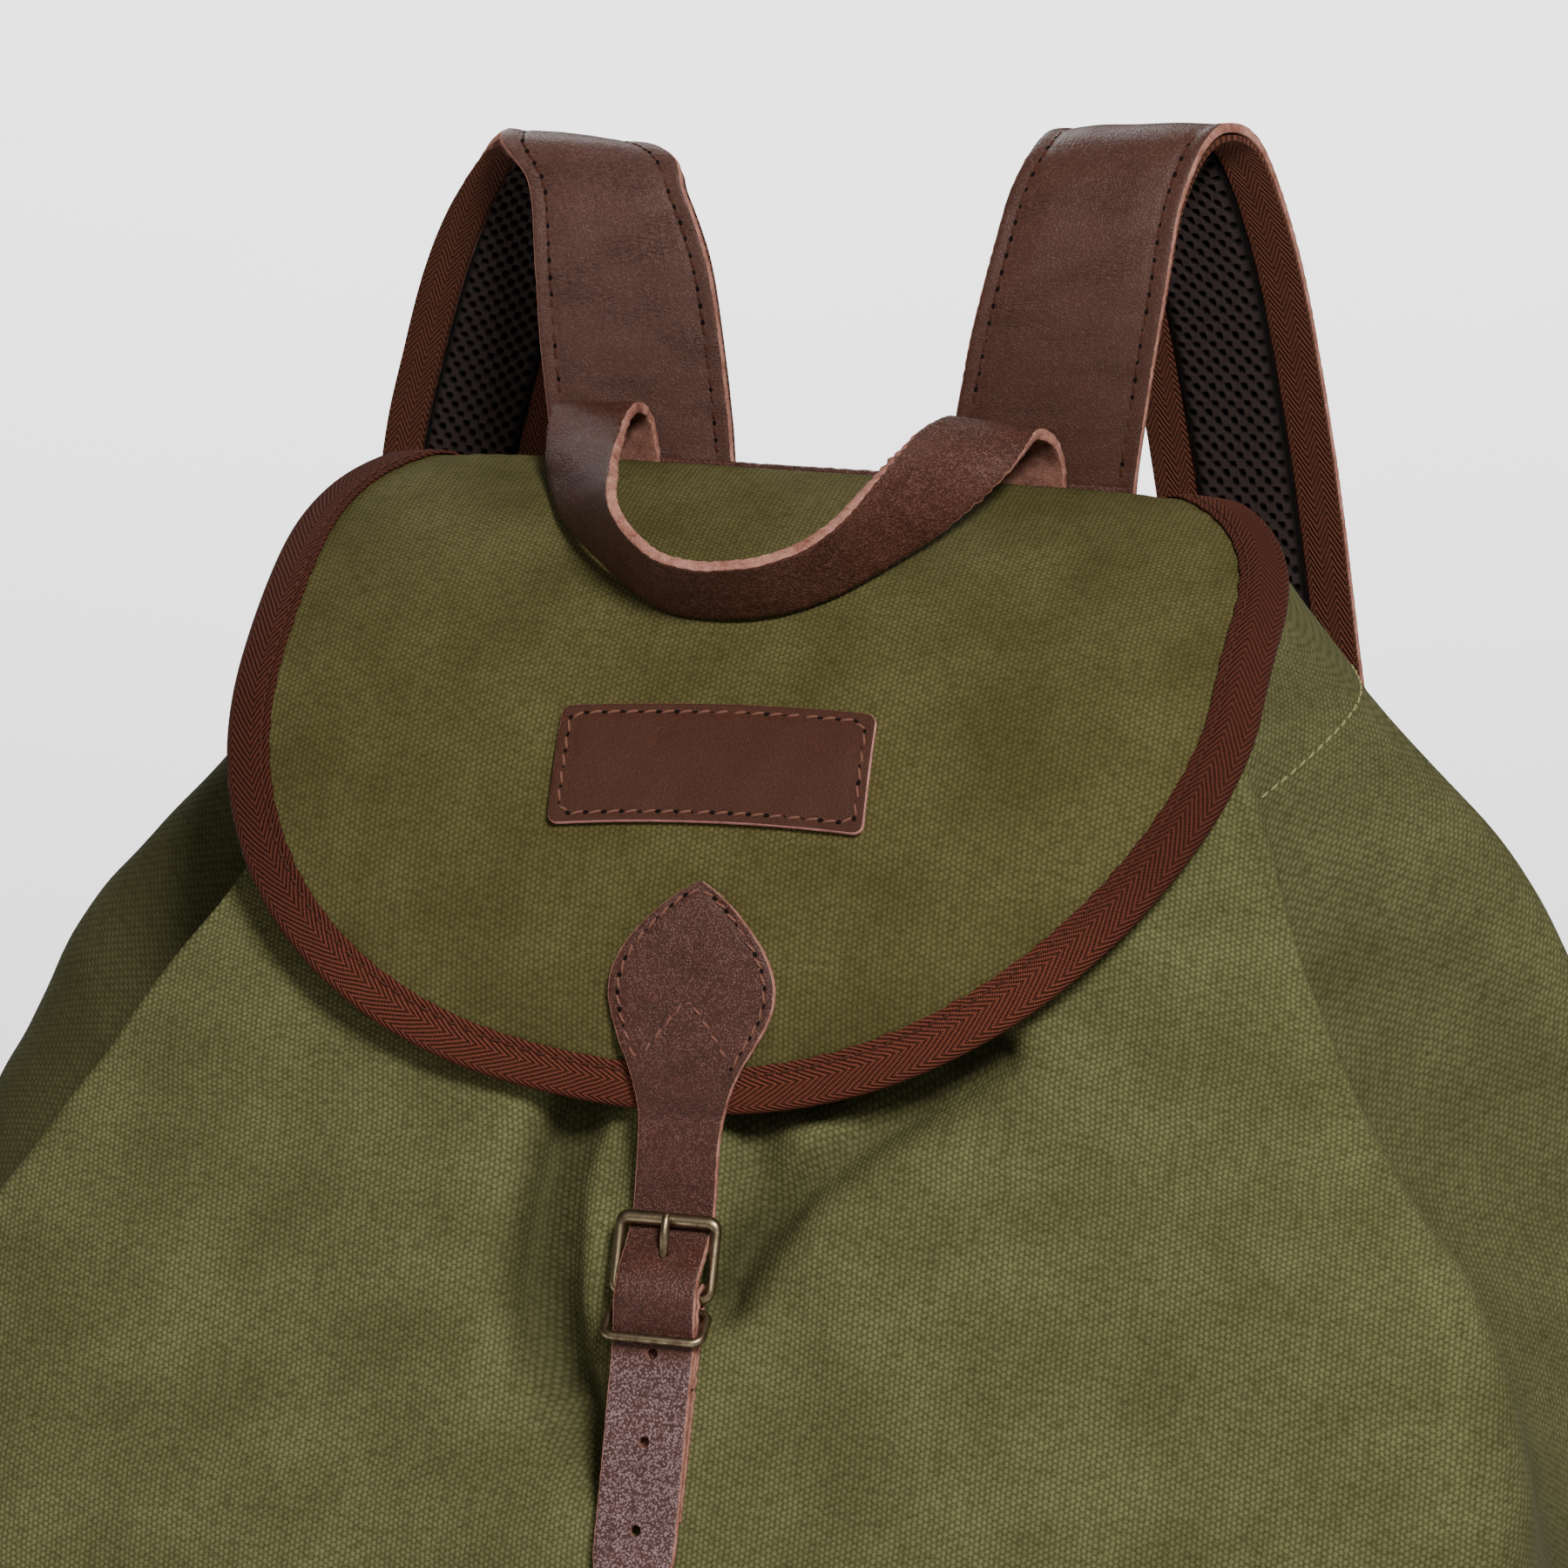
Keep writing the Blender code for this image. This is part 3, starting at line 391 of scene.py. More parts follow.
def mesh_finish(name, light, dark):
    """Black spacer mesh: knitted threads round the holes, which are in the shape itself; the threads' tops
    are painted pale as highlights and the holes painted dark as shade.
    """
    f = Finish(name, 0.85, Specular_IOR_Level=0.12)
    flat, across, along, depth = f.cloth()
    knit = (along * (FULL_TURN / 0.8)).sine() * (across * (FULL_TURN / 0.55)).sine()
    height = knit + f.noise(flat, 0.6)
    # Painted highlights on the knit tops, and painted shade that deepens into the holes
    lit = height.between(-0.5, 1.5, 0.2, 1.0) * f.math("SUBTRACT", 1.0, depth)
    return f.done(f.blend(lit, dark, light), f.relief(height, 0.15))


CANVAS = canvas_finish("canvas_green", rgb(103, 102, 66), rgb(89, 87, 54), rgb(38, 36, 15))
FLAP_CLOTH = canvas_finish("canvas_flap", rgb(90, 85, 51), rgb(75, 70, 38), rgb(43, 39, 17), 0.55)
BINDING = tape_finish("tape_brown", rgb(117, 62, 46), rgb(36, 16, 10))
STRAP_TAPE = tape_finish("tape_strap", rgb(100, 57, 41), rgb(38, 20, 13), 3.0, 2.1)
# Painted grey sheen for the closure strap's lower end
SHEEN_GREY = (0.3, 0.2, 0.21, 1.0)
BROWN = rgb(89, 52, 42), rgb(47, 25, 18)
LEATHER = leather_finish("leather_brown", *BROWN)
# The left strap's leather is painted lighter and greyer than the right's, as painted sheen
SHOULDER_FACES = {
    "left": leather_finish("leather_strap_left", rgb(99, 69, 60), rgb(62, 39, 33), 1.2, 0.45, 0.6, 0.15),
    "right": leather_finish("leather_strap_right", rgb(89, 57, 46), rgb(56, 33, 26), 0.8, 0.45, 0.6, 0.15),
}
HANDLE_FACE = leather_finish("leather_handle", rgb(96, 60, 49), rgb(44, 21, 13), 0.5, 0.42)
PATCH_FACE = leather_finish("leather_patch", rgb(78, 39, 20), rgb(47, 21, 9), 0.2, 0.66, 0.5)
RAW = raw_finish("leather_raw_edge", rgb(182, 130, 114), rgb(112, 68, 55))
# Painted light: the patch's cut edge is made paler than the other cut edges to stand for the light it catches
PATCH_EDGE = raw_finish("leather_patch_edge", rgb(226, 160, 150), rgb(164, 106, 96))
FLESH = raw_finish("leather_flesh_side", rgb(140, 98, 84), rgb(84, 50, 40))
# Face, cut edge and flesh side
HIDE = [LEATHER, RAW, FLESH]
HOLE = raw_finish("needle_hole", rgb(20, 10, 7), rgb(10, 5, 3))
THREAD = thread_finish("thread_brown", rgb(92, 52, 38), rgb(40, 19, 12))
THREAD_LIGHT = thread_finish("thread_light_brown", rgb(140, 96, 80), rgb(84, 50, 39))
THREAD_GREEN = thread_finish("thread_olive", rgb(166, 158, 112), rgb(112, 104, 64))
BRASS = brass_finish("brass_old", (0.40, 0.31, 0.19, 1.0), (0.15, 0.105, 0.06, 1.0))
# The pale colour gives painted highlights on the black mesh's knit tops
MESH = mesh_finish("mesh_black", rgb(66, 54, 50), rgb(5, 3, 3))


# Mesh helpers


def add_piece(name, points, faces, materials, flat=None, face_materials=None, sharp=50.0):
    """A mesh piece from points in millimetres; flat holds one row for each corner of the faces."""
    mesh = bpy.data.meshes.new(name)
    mesh.from_pydata((np.asarray(points, float) * MM).tolist(), [], faces)
    for finish in materials:
        mesh.materials.append(finish)
    if face_materials is not None:
        mesh.polygons.foreach_set("material_index", np.asarray(face_materials, np.int32))
    if flat is not None:
        layer = mesh.attributes.new(CLOTH, "FLOAT_VECTOR", "CORNER")
        layer.data.foreach_set("vector", np.asarray(flat, np.float32).ravel())
    work = bmesh.new()
    work.from_mesh(mesh)
    bmesh.ops.recalc_face_normals(work, faces=work.faces)
    work.to_mesh(mesh)
    work.free()
    mesh.shade_smooth()
    mesh.set_sharp_from_angle(angle=math.radians(sharp))
    return add_object(name, mesh)


def keep(piece, slot, *nodes):
    """The piece rides with the bag and stands for the CAD nodes; the slot is not used."""
    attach(piece, "root")
    if nodes:
        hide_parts(*nodes)
    return piece


def grid_faces(rows, columns):
    """Quads of a grid that is closed around its columns: each corner's row and unwrapped column."""
    r, c = (part.ravel() for part in np.indices((rows - 1, columns)))
    return np.stack((r, r, r + 1, r + 1), axis=1), np.stack((c, c + 1, c + 1, c), axis=1)


def grid_piece(name, grid, flat, materials, kinds=None, sharp=50.0):
    """A closed piece from rows of points. flat has one more column than the grid.

    kinds gives the material of each column of quads. The two end faces take the last material.
    """
    rows, columns = grid.shape[:2]
    corner_rows, corner_columns = grid_faces(rows, columns)
    faces = (corner_rows * columns + corner_columns % columns).tolist()
    faces += [list(range(columns)), list(range((rows - 1) * columns, rows * columns))]
    corners = flat[corner_rows, corner_columns].reshape(-1, flat.shape[-1])
    corners = np.concatenate((corners, flat[0, :columns], flat[-1, :columns]))
    if corners.shape[1] == 2:
        corners = np.column_stack((corners, np.zeros(len(corners))))
    if kinds is not None:
        kinds = np.append(np.take(kinds, corner_columns[:, 0]), (len(materials) - 1,) * 2)
    return add_piece(name, grid.reshape(-1, 3), faces, materials, corners, kinds, sharp)


EDGE_COLUMNS = 5


def strap_profile(columns):
    """A strap's cross section as (across share, edge side, height share), and its columns' materials.

    It runs over the face from the left edge to the right, round that edge, back underneath and round.
    """
    face = np.linspace(-1.0, 1.0, columns)
    turns = np.linspace(0.0, math.pi, EDGE_COLUMNS + 2)[1:-1]
    rows = [(s, 0.0, 1.0) for s in face]
    rows += [(1.0, math.sin(a), 0.5 + 0.5 * math.cos(a)) for a in turns]
    rows += [(s, 0.0, 0.0) for s in face[::-1]]
    rows += [(-1.0, -math.sin(a), 0.5 - 0.5 * math.cos(a)) for a in turns]
    round_edge = [1] * (EDGE_COLUMNS + 1)
    return np.array(rows), [0] * (columns - 1) + round_edge + [2] * (columns - 1) + round_edge


class Strap:
    """A band along a line: where its surface lies, and the pieces made from it."""

    def __init__(self, line, widths, halves, thickness, step=1.2):
        widths, halves = np.broadcast_to(widths, line.shape), np.broadcast_to(halves, len(line))
        count = max(3, int(lengths(line)[-1] / step))
        table = even_steps(np.column_stack((line, widths, halves)), count)
        self.points, widths, self.halves = table[:, :3], table[:, 3:6], table[:, 6]
        outward = np.cross(widths, tangents(self.points))
        size = np.linalg.norm(outward, axis=1)[:, None]
        self.across, self.out = widths / size, outward / size
        self.run = lengths(self.points)
        self.thickness = thickness

    def cut(self, side):
        """Where a row of sideways places lies on the flat band, across and along."""
        return np.stack(np.broadcast_arrays(side, self.run[:, None]), axis=-1)

    def piece(self, name, side, height, flat, materials, kinds=None):
        grid = (self.points[:, None] + side[..., None] * self.across[:, None]
                + height[..., None] * self.out[:, None])
        return grid_piece(name, grid, wrapped(flat), materials, kinds)

    def solid(self, name, materials, columns=15, shape=None, ragged=0.12, seed=1):
        """Leather with round edges; shape(flat, half) gives how far its face stands off its plain height."""
        profile, kinds = strap_profile(columns)
        run = self.run[:, None]
        rough = ragged * waves(run, 3.0, seed) + ragged * waves(run, 0.9, seed + 1)
        edge = min(0.45, self.thickness * 0.22)
        side = profile[:, 0] * (self.halves + rough - edge)[:, None] + profile[:, 1] * edge
        height = np.broadcast_to(profile[:, 2] * self.thickness, side.shape)
        flat = self.cut(side)
        if shape is not None:
            height = height + shape(flat, self.halves[:, None]) * profile[:, 2]
        return self.piece(name, side, height, flat, materials, kinds)

    def band(self, name, material, near, far, columns, shape):
        """A strip that hangs under the line from side near to side far; shape(flat) lifts its outer face."""
        share = np.concatenate((np.linspace(0.0, 1.0, columns), np.linspace(1.0, 0.0, 4)))
        outer = np.arange(len(share)) < columns
        side = near[:, None] + (far - near)[:, None] * share
        flat = self.cut(side)
        lift = shape(flat) * outer
        height = -PAD_GAP - (outer * self.thickness + lift)
        # Painted shade: the deeper the face sinks below its plain height, the darker it is made, in the
        # mesh's holes and the tapes' dips
        depth = np.clip(-lift / self.thickness * 2.0, 0.0, 1.0)
        return self.piece(name, side, height, np.dstack((flat, depth)), [material])


STITCH_SIDES, STITCH_STEPS = 6, 6
# A needle hole's rings: how high each stands off the surface, and its size
HOLE_RINGS = ((-0.5, 1.0), (0.07, 1.0), (0.12, 0.6))


def stitch_row(name, path, up, thread, pitch=4.4, radius=0.38, slant=0.5, sink=0.25, holes=True):
    """A row of stitches along a path on a surface, each slanting between two needle holes."""
    count = max(1, round(lengths(path)[-1] / pitch))
    marks = even_steps(np.concatenate((path, up), axis=1), count + 1)
    points, ups = marks[:, :3], unit(marks[:, 3:])
    angles = np.arange(STITCH_SIDES)[:, None] * FULL_TURN / STITCH_SIDES
    swells = [*(np.sin(math.pi * np.arange(STITCH_STEPS) / STITCH_STEPS) ** 0.5), 0.0]
    verts, faces, kinds = [], [], []

    def add_rings(rings, kind):
        """A closed piece from rings of points."""
        starts = range(len(verts), len(verts) + len(rings) * STITCH_SIDES, STITCH_SIDES)
        verts.extend(np.concatenate(rings))
        for low, high in zip(starts, starts[1:]):
            for k in range(STITCH_SIDES):
                n = (k + 1) % STITCH_SIDES
                faces.append([low + k, low + n, high + n, high + k])
        for end in (starts[0], starts[-1]):
            faces.append(list(range(end, end + STITCH_SIDES)))
        kinds.extend([kind] * (STITCH_SIDES * (len(rings) - 1) + 2))

    for i in range(count):
        a, b, normal = points[i], points[i + 1], ups[i]
        aside = np.cross(normal, unit(b - a))
        room = 0.14 * (b - a)
        a, b = a + room - slant / 2 * aside, b - room + slant / 2 * aside
        around = np.cos(angles) * aside + np.sin(angles) * normal
        add_rings([a + (b - a) * k / STITCH_STEPS + normal * (radius * swell - sink)
                   + radius * (0.45 + 0.55 * swell) * around for k, swell in enumerate(swells)], 0)
    for i in range(count + 1 if holes else 0):
        ahead = unit(points[min(i + 1, count)] - points[max(i - 1, 0)])
        around = np.cos(angles) * np.cross(ups[i], ahead) * 0.6 + np.sin(angles) * ahead * 0.85
        add_rings([points[i] + size * around + height * ups[i] for height, size in HOLE_RINGS], 1)
    return add_piece(name, verts, faces, [thread, HOLE], None, kinds)


def strap_stitches(name, slot, strap, place, side, height, thread, **options):
    """Stitches at distances along a strap, sideways from its middle and off its underside."""
    table = table_at(place, strap.run, np.concatenate((strap.points, strap.across, strap.out), axis=1))
    side = np.broadcast_to(side, len(place))[:, None]
    path = table[:, :3] + side * table[:, 3:6] + height * table[:, 6:]
    keep(stitch_row(name, path, table[:, 6:], thread, **options), slot)


# Flap: the CAD source's dome, drawn on the flat as across x and down t

BACK_PLANE = 95.0
FLAP_CANVAS = 2.4
FLAP_TOP = 420.0
DOME_RUN, DOME_DROP, DOME_RADIUS = 136.0, 131.0, 133.0
DOME_HALF_WIDTH, DOME_POWER = 204.0, 5.4
FLAP_HALF_WIDTH, FLAP_FRONT, FLAP_BACK, FLAP_MIDDLE = 132.0, 208.0, -34.0, 75.0
FRONT_ARC_START, BACK_ARC_START = 90.0, 60.0
FRONT_ARC_POWERS = (2.4, 1.84)
BACK_ARC_POWERS = (2.8, 2.3)
ROLL_START, ROLL_RADIUS = 4.0, 6.7
SEAM_GAP = 0.3
BINDING_WIDTH, BINDING_TAPE, BINDING_END_X = 11.5, 0.9, 86.0
# How far in from the flap's edge its cloth ends and the binding's seam runs
RIM_INSET, SEWN_INSET = 1.2, 9.4
BINDING_FACE_ROWS = 20
FLAP_WAVE = 0.45


def dome_point(x, t):
    spread = np.sqrt(np.maximum(0.0, 1.0 - (np.abs(x) / DOME_HALF_WIDTH) ** DOME_POWER))
    turn = np.maximum(t, ROLL_START) / DOME_RADIUS
    y = BACK_PLANE - DOME_RUN * spread * np.sin(turn)
    z = FLAP_TOP - DOME_DROP + DOME_DROP * spread * np.cos(turn)
    behind = np.maximum(ROLL_START - t, 0.0)
    roll = np.minimum(behind / ROLL_RADIUS, QUARTER_TURN)
    straight = np.maximum(0.0, behind - ROLL_RADIUS * QUARTER_TURN)
    y = y + ROLL_RADIUS * np.sin(roll)
    z = z - ROLL_RADIUS * (1.0 - np.cos(roll)) - straight
    return np.stack((x, y, z), axis=-1)


def on_flap(flat, height):
    """Points off the flap's cloth, which dips a little below the plain dome in soft broad waves."""
    flat = np.asarray(flat, float)
    x, t = flat[..., 0], flat[..., 1]
    step = 0.5
    across = dome_point(x + step, t) - dome_point(x - step, t)
    down = dome_point(x, t + step) - dome_point(x, t - step)
    wave = FLAP_WAVE * (waves(flat, 95.0, 3) + 0.45 * waves(flat, 38.0, 4) - 1.2)
    height = height + np.minimum(wave, 0.0) * smooth_step(t, 6.0, 30.0)
    return dome_point(x, t) + height[..., None] * unit(np.cross(down, across))


def flap_stitches(name, slot, line, height, thread, **options):
    up = unit(on_flap(line, 1.0) - on_flap(line, 0.0))
    keep(stitch_row(name, on_flap(line, height), up, thread, **options), slot)


def flap_edge(count):
    """The flap's edge on the flat at even steps from the middle of the back, with its inward directions."""
    turn = np.linspace(-QUARTER_TURN, 3 * QUARTER_TURN, 4000)
    c, s = np.cos(turn), np.sin(turn)
    right, front = (c >= 0.0).astype(int), s >= 0.0
    power = np.where(front, np.take(FRONT_ARC_POWERS, right), np.take(BACK_ARC_POWERS, right))
    start = np.where(front, FRONT_ARC_START, BACK_ARC_START)
    reach = np.where(front, FLAP_FRONT - FRONT_ARC_START, BACK_ARC_START - FLAP_BACK)
    x = np.sign(c) * np.abs(c) ** (2.0 / power) * FLAP_HALF_WIDTH
    t = start + np.sign(s) * np.abs(s) ** (2.0 / power) * reach
    line = even_steps(np.stack((x, t), axis=1), count + 1)[:-1]
    along = unit(np.roll(line, -1, axis=0) - np.roll(line, 1, axis=0))
    return line, np.stack((-along[:, 1], along[:, 0]), axis=1)


def make_flap():
    edge, inward = flap_edge(360)
    rim = edge + inward * RIM_INSET
    middle = np.array((0.0, FLAP_MIDDLE))
    shares = np.concatenate((np.linspace(0.02, 0.9, 34), np.linspace(0.915, 1.0, 9)))
    flat = middle + (rim - middle) * shares[:, None, None]
    flat = np.concatenate((flat, flat[::-1]))
    height = np.repeat((0.0, -FLAP_CANVAS), len(shares))[:, None]
    inset = np.linalg.norm(flat - rim, axis=-1)
    pucker = 0.3 * bump_at(inset, 12.5, 3.0) * (1.0 + 0.6 * waves(flat, 9.0, 12))
    flap = grid_piece("flap_cloth", on_flap(flat, height - pucker), wrapped(flat), [FLAP_CLOTH])
    keep(flap, "flap_canvas", "flap")


def binding_profile():
    """The folded tape's cross section as (inset from the edge, height), outer side then inner side."""
    top, middle, outer, inner = SEAM_GAP + BINDING_TAPE, -FLAP_CANVAS / 2, 2.4, 1.5
    across = np.linspace(BINDING_WIDTH, RIM_INSET, BINDING_FACE_ROWS)
    crown = 0.32 * np.sin(math.pi * across / BINDING_WIDTH) - 0.38 * bump_at(across, SEWN_INSET, 1.0)
    face = top + crown - 0.35 * smooth_step(across, 10.7, 11.5)
    turns = np.linspace(QUARTER_TURN, -QUARTER_TURN, 13)[1:-1]
    rows = list(zip(across, face))
    rows += [(RIM_INSET - outer * math.cos(a), middle + outer * math.sin(a)) for a in turns]
    rows += list(zip(across[::-1], 2 * middle - face[::-1]))
    rows += [(i, 2 * middle - SEAM_GAP) for i in np.linspace(BINDING_WIDTH, RIM_INSET, 5)]
    rows += [(RIM_INSET - inner * math.cos(a), middle + inner * math.sin(a)) for a in turns[::-2]]
    rows += [(i, SEAM_GAP) for i in np.linspace(RIM_INSET, BINDING_WIDTH, 5)]
    return np.array(rows)


def make_binding():
    edge, inward = flap_edge(620)
    taped = (edge[:, 1] >= 0.0) | (np.abs(edge[:, 0]) >= BINDING_END_X)
    edge, inward = edge[taped], inward[taped]
    run = lengths(edge)[:, None]
    profile = binding_profile()
    inset, height = profile.T
    around = lengths(profile)
    inset = inset + 0.22 * waves(run, 7.0, 9)[:, None] * (inset > 9.0)
    height = height + 0.036 * waves(run, 16.0, 8)[:, None] * (np.arange(len(profile)) < BINDING_FACE_ROWS)
    flat = edge[:, None] + inset[..., None] * inward[:, None]
    # Painted shade: the binding is made darker towards the flap's sides
    shade = 0.45 * smooth_step(np.abs(edge[:, :1]), 85.0, 125.0)
    cut = np.dstack(np.broadcast_arrays(np.append(around, around[-1] + BINDING_TAPE), run, shade))
    binding = grid_piece("flap_edge_binding", on_flap(flat, height), cut, [BINDING], sharp=60.0)
    keep(binding, "binding_tape", "flap_binding")
    flap_stitches("flap_binding_stitching", "binding_tape", edge + SEWN_INSET * inward,
                  SEAM_GAP + BINDING_TAPE - 0.05, THREAD, pitch=4.0, radius=0.34, slant=0.2, sink=0.12,
                  holes=False)


PATCH_SIZE, PATCH_MIDDLE, PATCH_TURN = (81.0, 31.5), np.array((-0.5, 120.7)), math.radians(-2.3)
PATCH_BOW, PATCH_LEATHER = 1.9, 2.5
# The rounding of its upper edge, how many rows of points its face has and how many are in each row
PATCH_ROUND, PATCH_FACE_ROWS, PATCH_COLUMNS = 0.55, 19, 220


def rounded_loop(width, height, radius):
    """A rectangle's outline with round corners."""
    turns = np.linspace(0.0, QUARTER_TURN, 9)
    loop = []
    for number, signs in enumerate(((1, 1), (-1, 1), (-1, -1), (1, -1))):
        angles = turns + number * QUARTER_TURN
        corner = np.array(signs) * (width / 2 - radius, height / 2 - radius)
        loop.append(corner + radius * np.stack((np.cos(angles), np.sin(angles)), axis=1))
    return np.concatenate(loop)


def patch_outline(inset, radius):
    """The patch's outline on the flap's flat, evenly stepped."""
    loop = rounded_loop(PATCH_SIZE[0] - 2.0 * inset, PATCH_SIZE[1] - 2.0 * inset, radius)
    loop = even_steps(np.concatenate((loop, loop[:1])), PATCH_COLUMNS + 1)[:-1]
    bow = PATCH_BOW * (1.0 - (2.0 * loop[:, :1] / PATCH_SIZE[0]) ** 2)
    c, s = math.cos(PATCH_TURN), math.sin(PATCH_TURN)
    return loop @ np.array(((c, s), (-s, c))) + PATCH_MIDDLE - bow * (0.0, 1.0)


def make_patch():
    from_middle = patch_outline(PATCH_ROUND, 2.1) - PATCH_MIDDLE
    rows = [(PATCH_MIDDLE + from_middle * share, PATCH_LEATHER) for share in np.linspace(0.03, 1.0, 18)]
    for angle in np.linspace(0.0, QUARTER_TURN, 5)[1:]:
        s, c = math.sin(angle), math.cos(angle)
        outline = patch_outline(PATCH_ROUND * (1.0 - s), 2.1 + 0.4 * s)
        rows.append((outline, PATCH_LEATHER - PATCH_ROUND * (1.0 - c)))
    rows += [(patch_outline(0.0, 2.5), 0.9), (patch_outline(0.25, 2.3), 0.0), (rows[0][0], 0.0)]
    flat, heights = (np.array(part) for part in zip(*rows))
    face = (np.arange(len(rows)) < PATCH_FACE_ROWS)[:, None]
    line = patch_outline(2.4, 1.4)
    away = np.min(np.linalg.norm(flat[:, :, None] - line[::2], axis=-1), axis=-1)
    height = SEAM_GAP + heights[:, None] - 0.35 * bump_at(away, 0.0, 1.1) * face
    height = height + 0.12 * waves(flat, 11.0, 21) * face
    piece = grid_piece("patch_leather", on_flap(flat, height), wrapped(flat), [PATCH_FACE, PATCH_EDGE],
                       sharp=60.0)
    quads = len(piece.data.polygons) - 2
    kinds = [*(np.arange(quads) // PATCH_COLUMNS >= PATCH_FACE_ROWS), 0, 1]
    piece.data.polygons.foreach_set("material_index", np.array(kinds, np.int32))
    keep(piece, "patch_leather", "patch")
    flap_stitches("patch_stitching", "patch_leather", np.concatenate((line, line[:1])),
                  SEAM_GAP + PATCH_LEATHER - 0.3, THREAD_LIGHT, pitch=4.6, radius=0.36, slant=0.7, sink=0.1)


# Closure strap, buckle and the lower strap

TAB_OUTLINE = (
    (1.2, 149.6, 0.8), (1.2, 153.0, 6.0), (1.2, 158.0, 11.5), (1.2, 165.0, 17.3), (1.2, 172.0, 20.8),
    (1.1, 178.0, 21.5), (0.9, 184.0, 20.2), (0.6, 190.0, 17.6), (0.3, 196.0, 14.6), (0.0, 202.0, 12.4),
    (-0.3, 208.0, 11.2),
)
STRAP_RUN = (
    (-0.5, 2.0, 5.2), (-0.7, 8.0, 3.4), (-0.9, 14.0, 1.6), (-1.0, 19.0, 0.6), (-1.1, 23.0, 0.5),
    (-1.2, 26.0, 1.5), (-1.2, 29.0, 3.1), (-1.2, 32.0, 5.1), (-1.2, 35.0, 7.0), (-1.2, 38.0, 8.3),
    (-1.2, 41.0, 8.8), (-1.2, 44.0, 8.4), (-1.2, 47.0, 7.4), (-1.2, 50.5, 5.9), (-1.2, 55.0, 5.0),
    (-1.2, 61.0, 4.7), (-1.2, 68.0, 4.2), (-1.2, 78.0, 3.4), (-1.2, 90.0, 2.6), (-1.2, 104.0, 2.0),
    (-1.2, 107.5, 1.9), (-1.2, 111.0, 1.8), (-1.2, 114.5, 1.7), (-1.2, 118.0, 1.6),
)
# The row of the outline where the tab becomes the strap
TAB_END_ROW = 8
STRAP_HALF_WIDTH = 10.6
STRAP_TIP = (10.6, 10.3, 9.3, 7.4, 4.0)
# How far in from the tab's edge its stitches run
STRAP_LEATHER, TAB_SEAM = 2.2, 2.7
BUCKLE_TOP_Y, BUCKLE_TOP_Z, BUCKLE_SLOPE, BUCKLE_X = -38.5, 283.0, math.radians(25.5), -1.2
HOLES_D = (55.6, 77.4, 99.2)
HOLE_RADIUS = 1.45
FRAME_WIRE, FRAME_WIDTH, WIRE_CORNER, WIRE_SIDES = 1.5, 24.8, 2.4, 16
# The frame's top bar is thicker than the rest
FRAME_WIRES = (1.75, 1.3)
TOP_BAR, LOWER_BAR = (22.0, 4.7), (40.9, 4.1)
PRONG_RUN = ((38.3, 4.2), (37.9, 4.3), (34.0, 5.4), (30.0, 6.6), (26.0, 7.7), (22.9, 7.9), (21.4, 7.5))
KEEPER_WIRE, KEEPER_WIDTH, KEEPER_BACK, KEEPER_FRONT = 1.2, 25.0, (44.6, 3.6), (52.2, 9.5)
LOWER_TAIL = ((63.0, 2.5), (57.0, 2.6), (52.0, 3.2), (48.0, 4.8), (44.6, 5.3))
LOWER_LEAD = ((46.0, 2.2), (60.0, 2.2), (78.0, 2.2), (96.0, 2.2))
LOWER_LEATHER, LOWER_HALF_WIDTH, LOOP_GAP, LOOP_STEPS = 1.8, 10.6, 0.6, 5


def on_front(x, d, h):
    """A place by the buckle: d down the cloth from the flap's edge and h off it."""
    x, d, h = (np.asarray(v, float) for v in (x, d, h))
    y = BUCKLE_TOP_Y - d * math.sin(BUCKLE_SLOPE) - h * math.cos(BUCKLE_SLOPE)
    z = BUCKLE_TOP_Z - d * math.cos(BUCKLE_SLOPE) + h * math.sin(BUCKLE_SLOPE)
    return np.stack(np.broadcast_arrays(x, y, z), axis=-1)


OFF_CLOTH = unit(on_front(0, 0, 1) - on_front(0, 0, 0))
UP_CLOTH = unit(on_front(0, -1, 0) - on_front(0, 0, 0))


def tube(name, line, radii, closed):
    """Round wire along a line, with rounded ends where it is open."""
    line = np.asarray(line, float)
    tangent = unit(np.roll(line, -1, axis=0) - np.roll(line, 1, axis=0)) if closed else tangents(line)
    side = [unit(np.cross(tangent[0], (0.3, 0.5, 0.8)))]
    for t in tangent[1:]:
        side.append(unit(side[-1] - np.dot(side[-1], t) * t))
    table = np.column_stack((line, radii, side, np.cross(tangent, side)))
    if not closed:
        turns = np.linspace(0.0, QUARTER_TURN, 5)[1:, None] * 0.96
        start, finish = np.repeat(table[:1], 4, axis=0), np.repeat(table[-1:], 4, axis=0)
        for end, along in ((start, -tangent[0]), (finish, tangent[-1])):
            end[:, :3] += along * end[:, 3:4] * np.sin(turns)
            end[:, 3:4] *= np.cos(turns)
        table = np.concatenate((start[::-1], table, finish))
    angles = np.arange(WIRE_SIDES)[:, None] * FULL_TURN / WIRE_SIDES
    ring = np.cos(angles) * table[:, None, 4:7] + np.sin(angles) * table[:, None, 7:]
    grid = table[:, None, :3] + table[:, None, 3:4] * ring
    if not closed:
        return grid_piece(name, grid, np.zeros((len(grid), WIRE_SIDES + 1, 3)), [BRASS])
    rows, columns = grid_faces(len(grid) + 1, WIRE_SIDES)
    twist = np.argmin(np.linalg.norm(grid[0] - grid[-1, 0], axis=1))
    columns = (columns + twist * (rows == len(grid))) % WIRE_SIDES
    faces = (rows % len(grid) * WIRE_SIDES + columns).tolist()
    return add_piece(name, grid.reshape(-1, 3), faces, [BRASS])


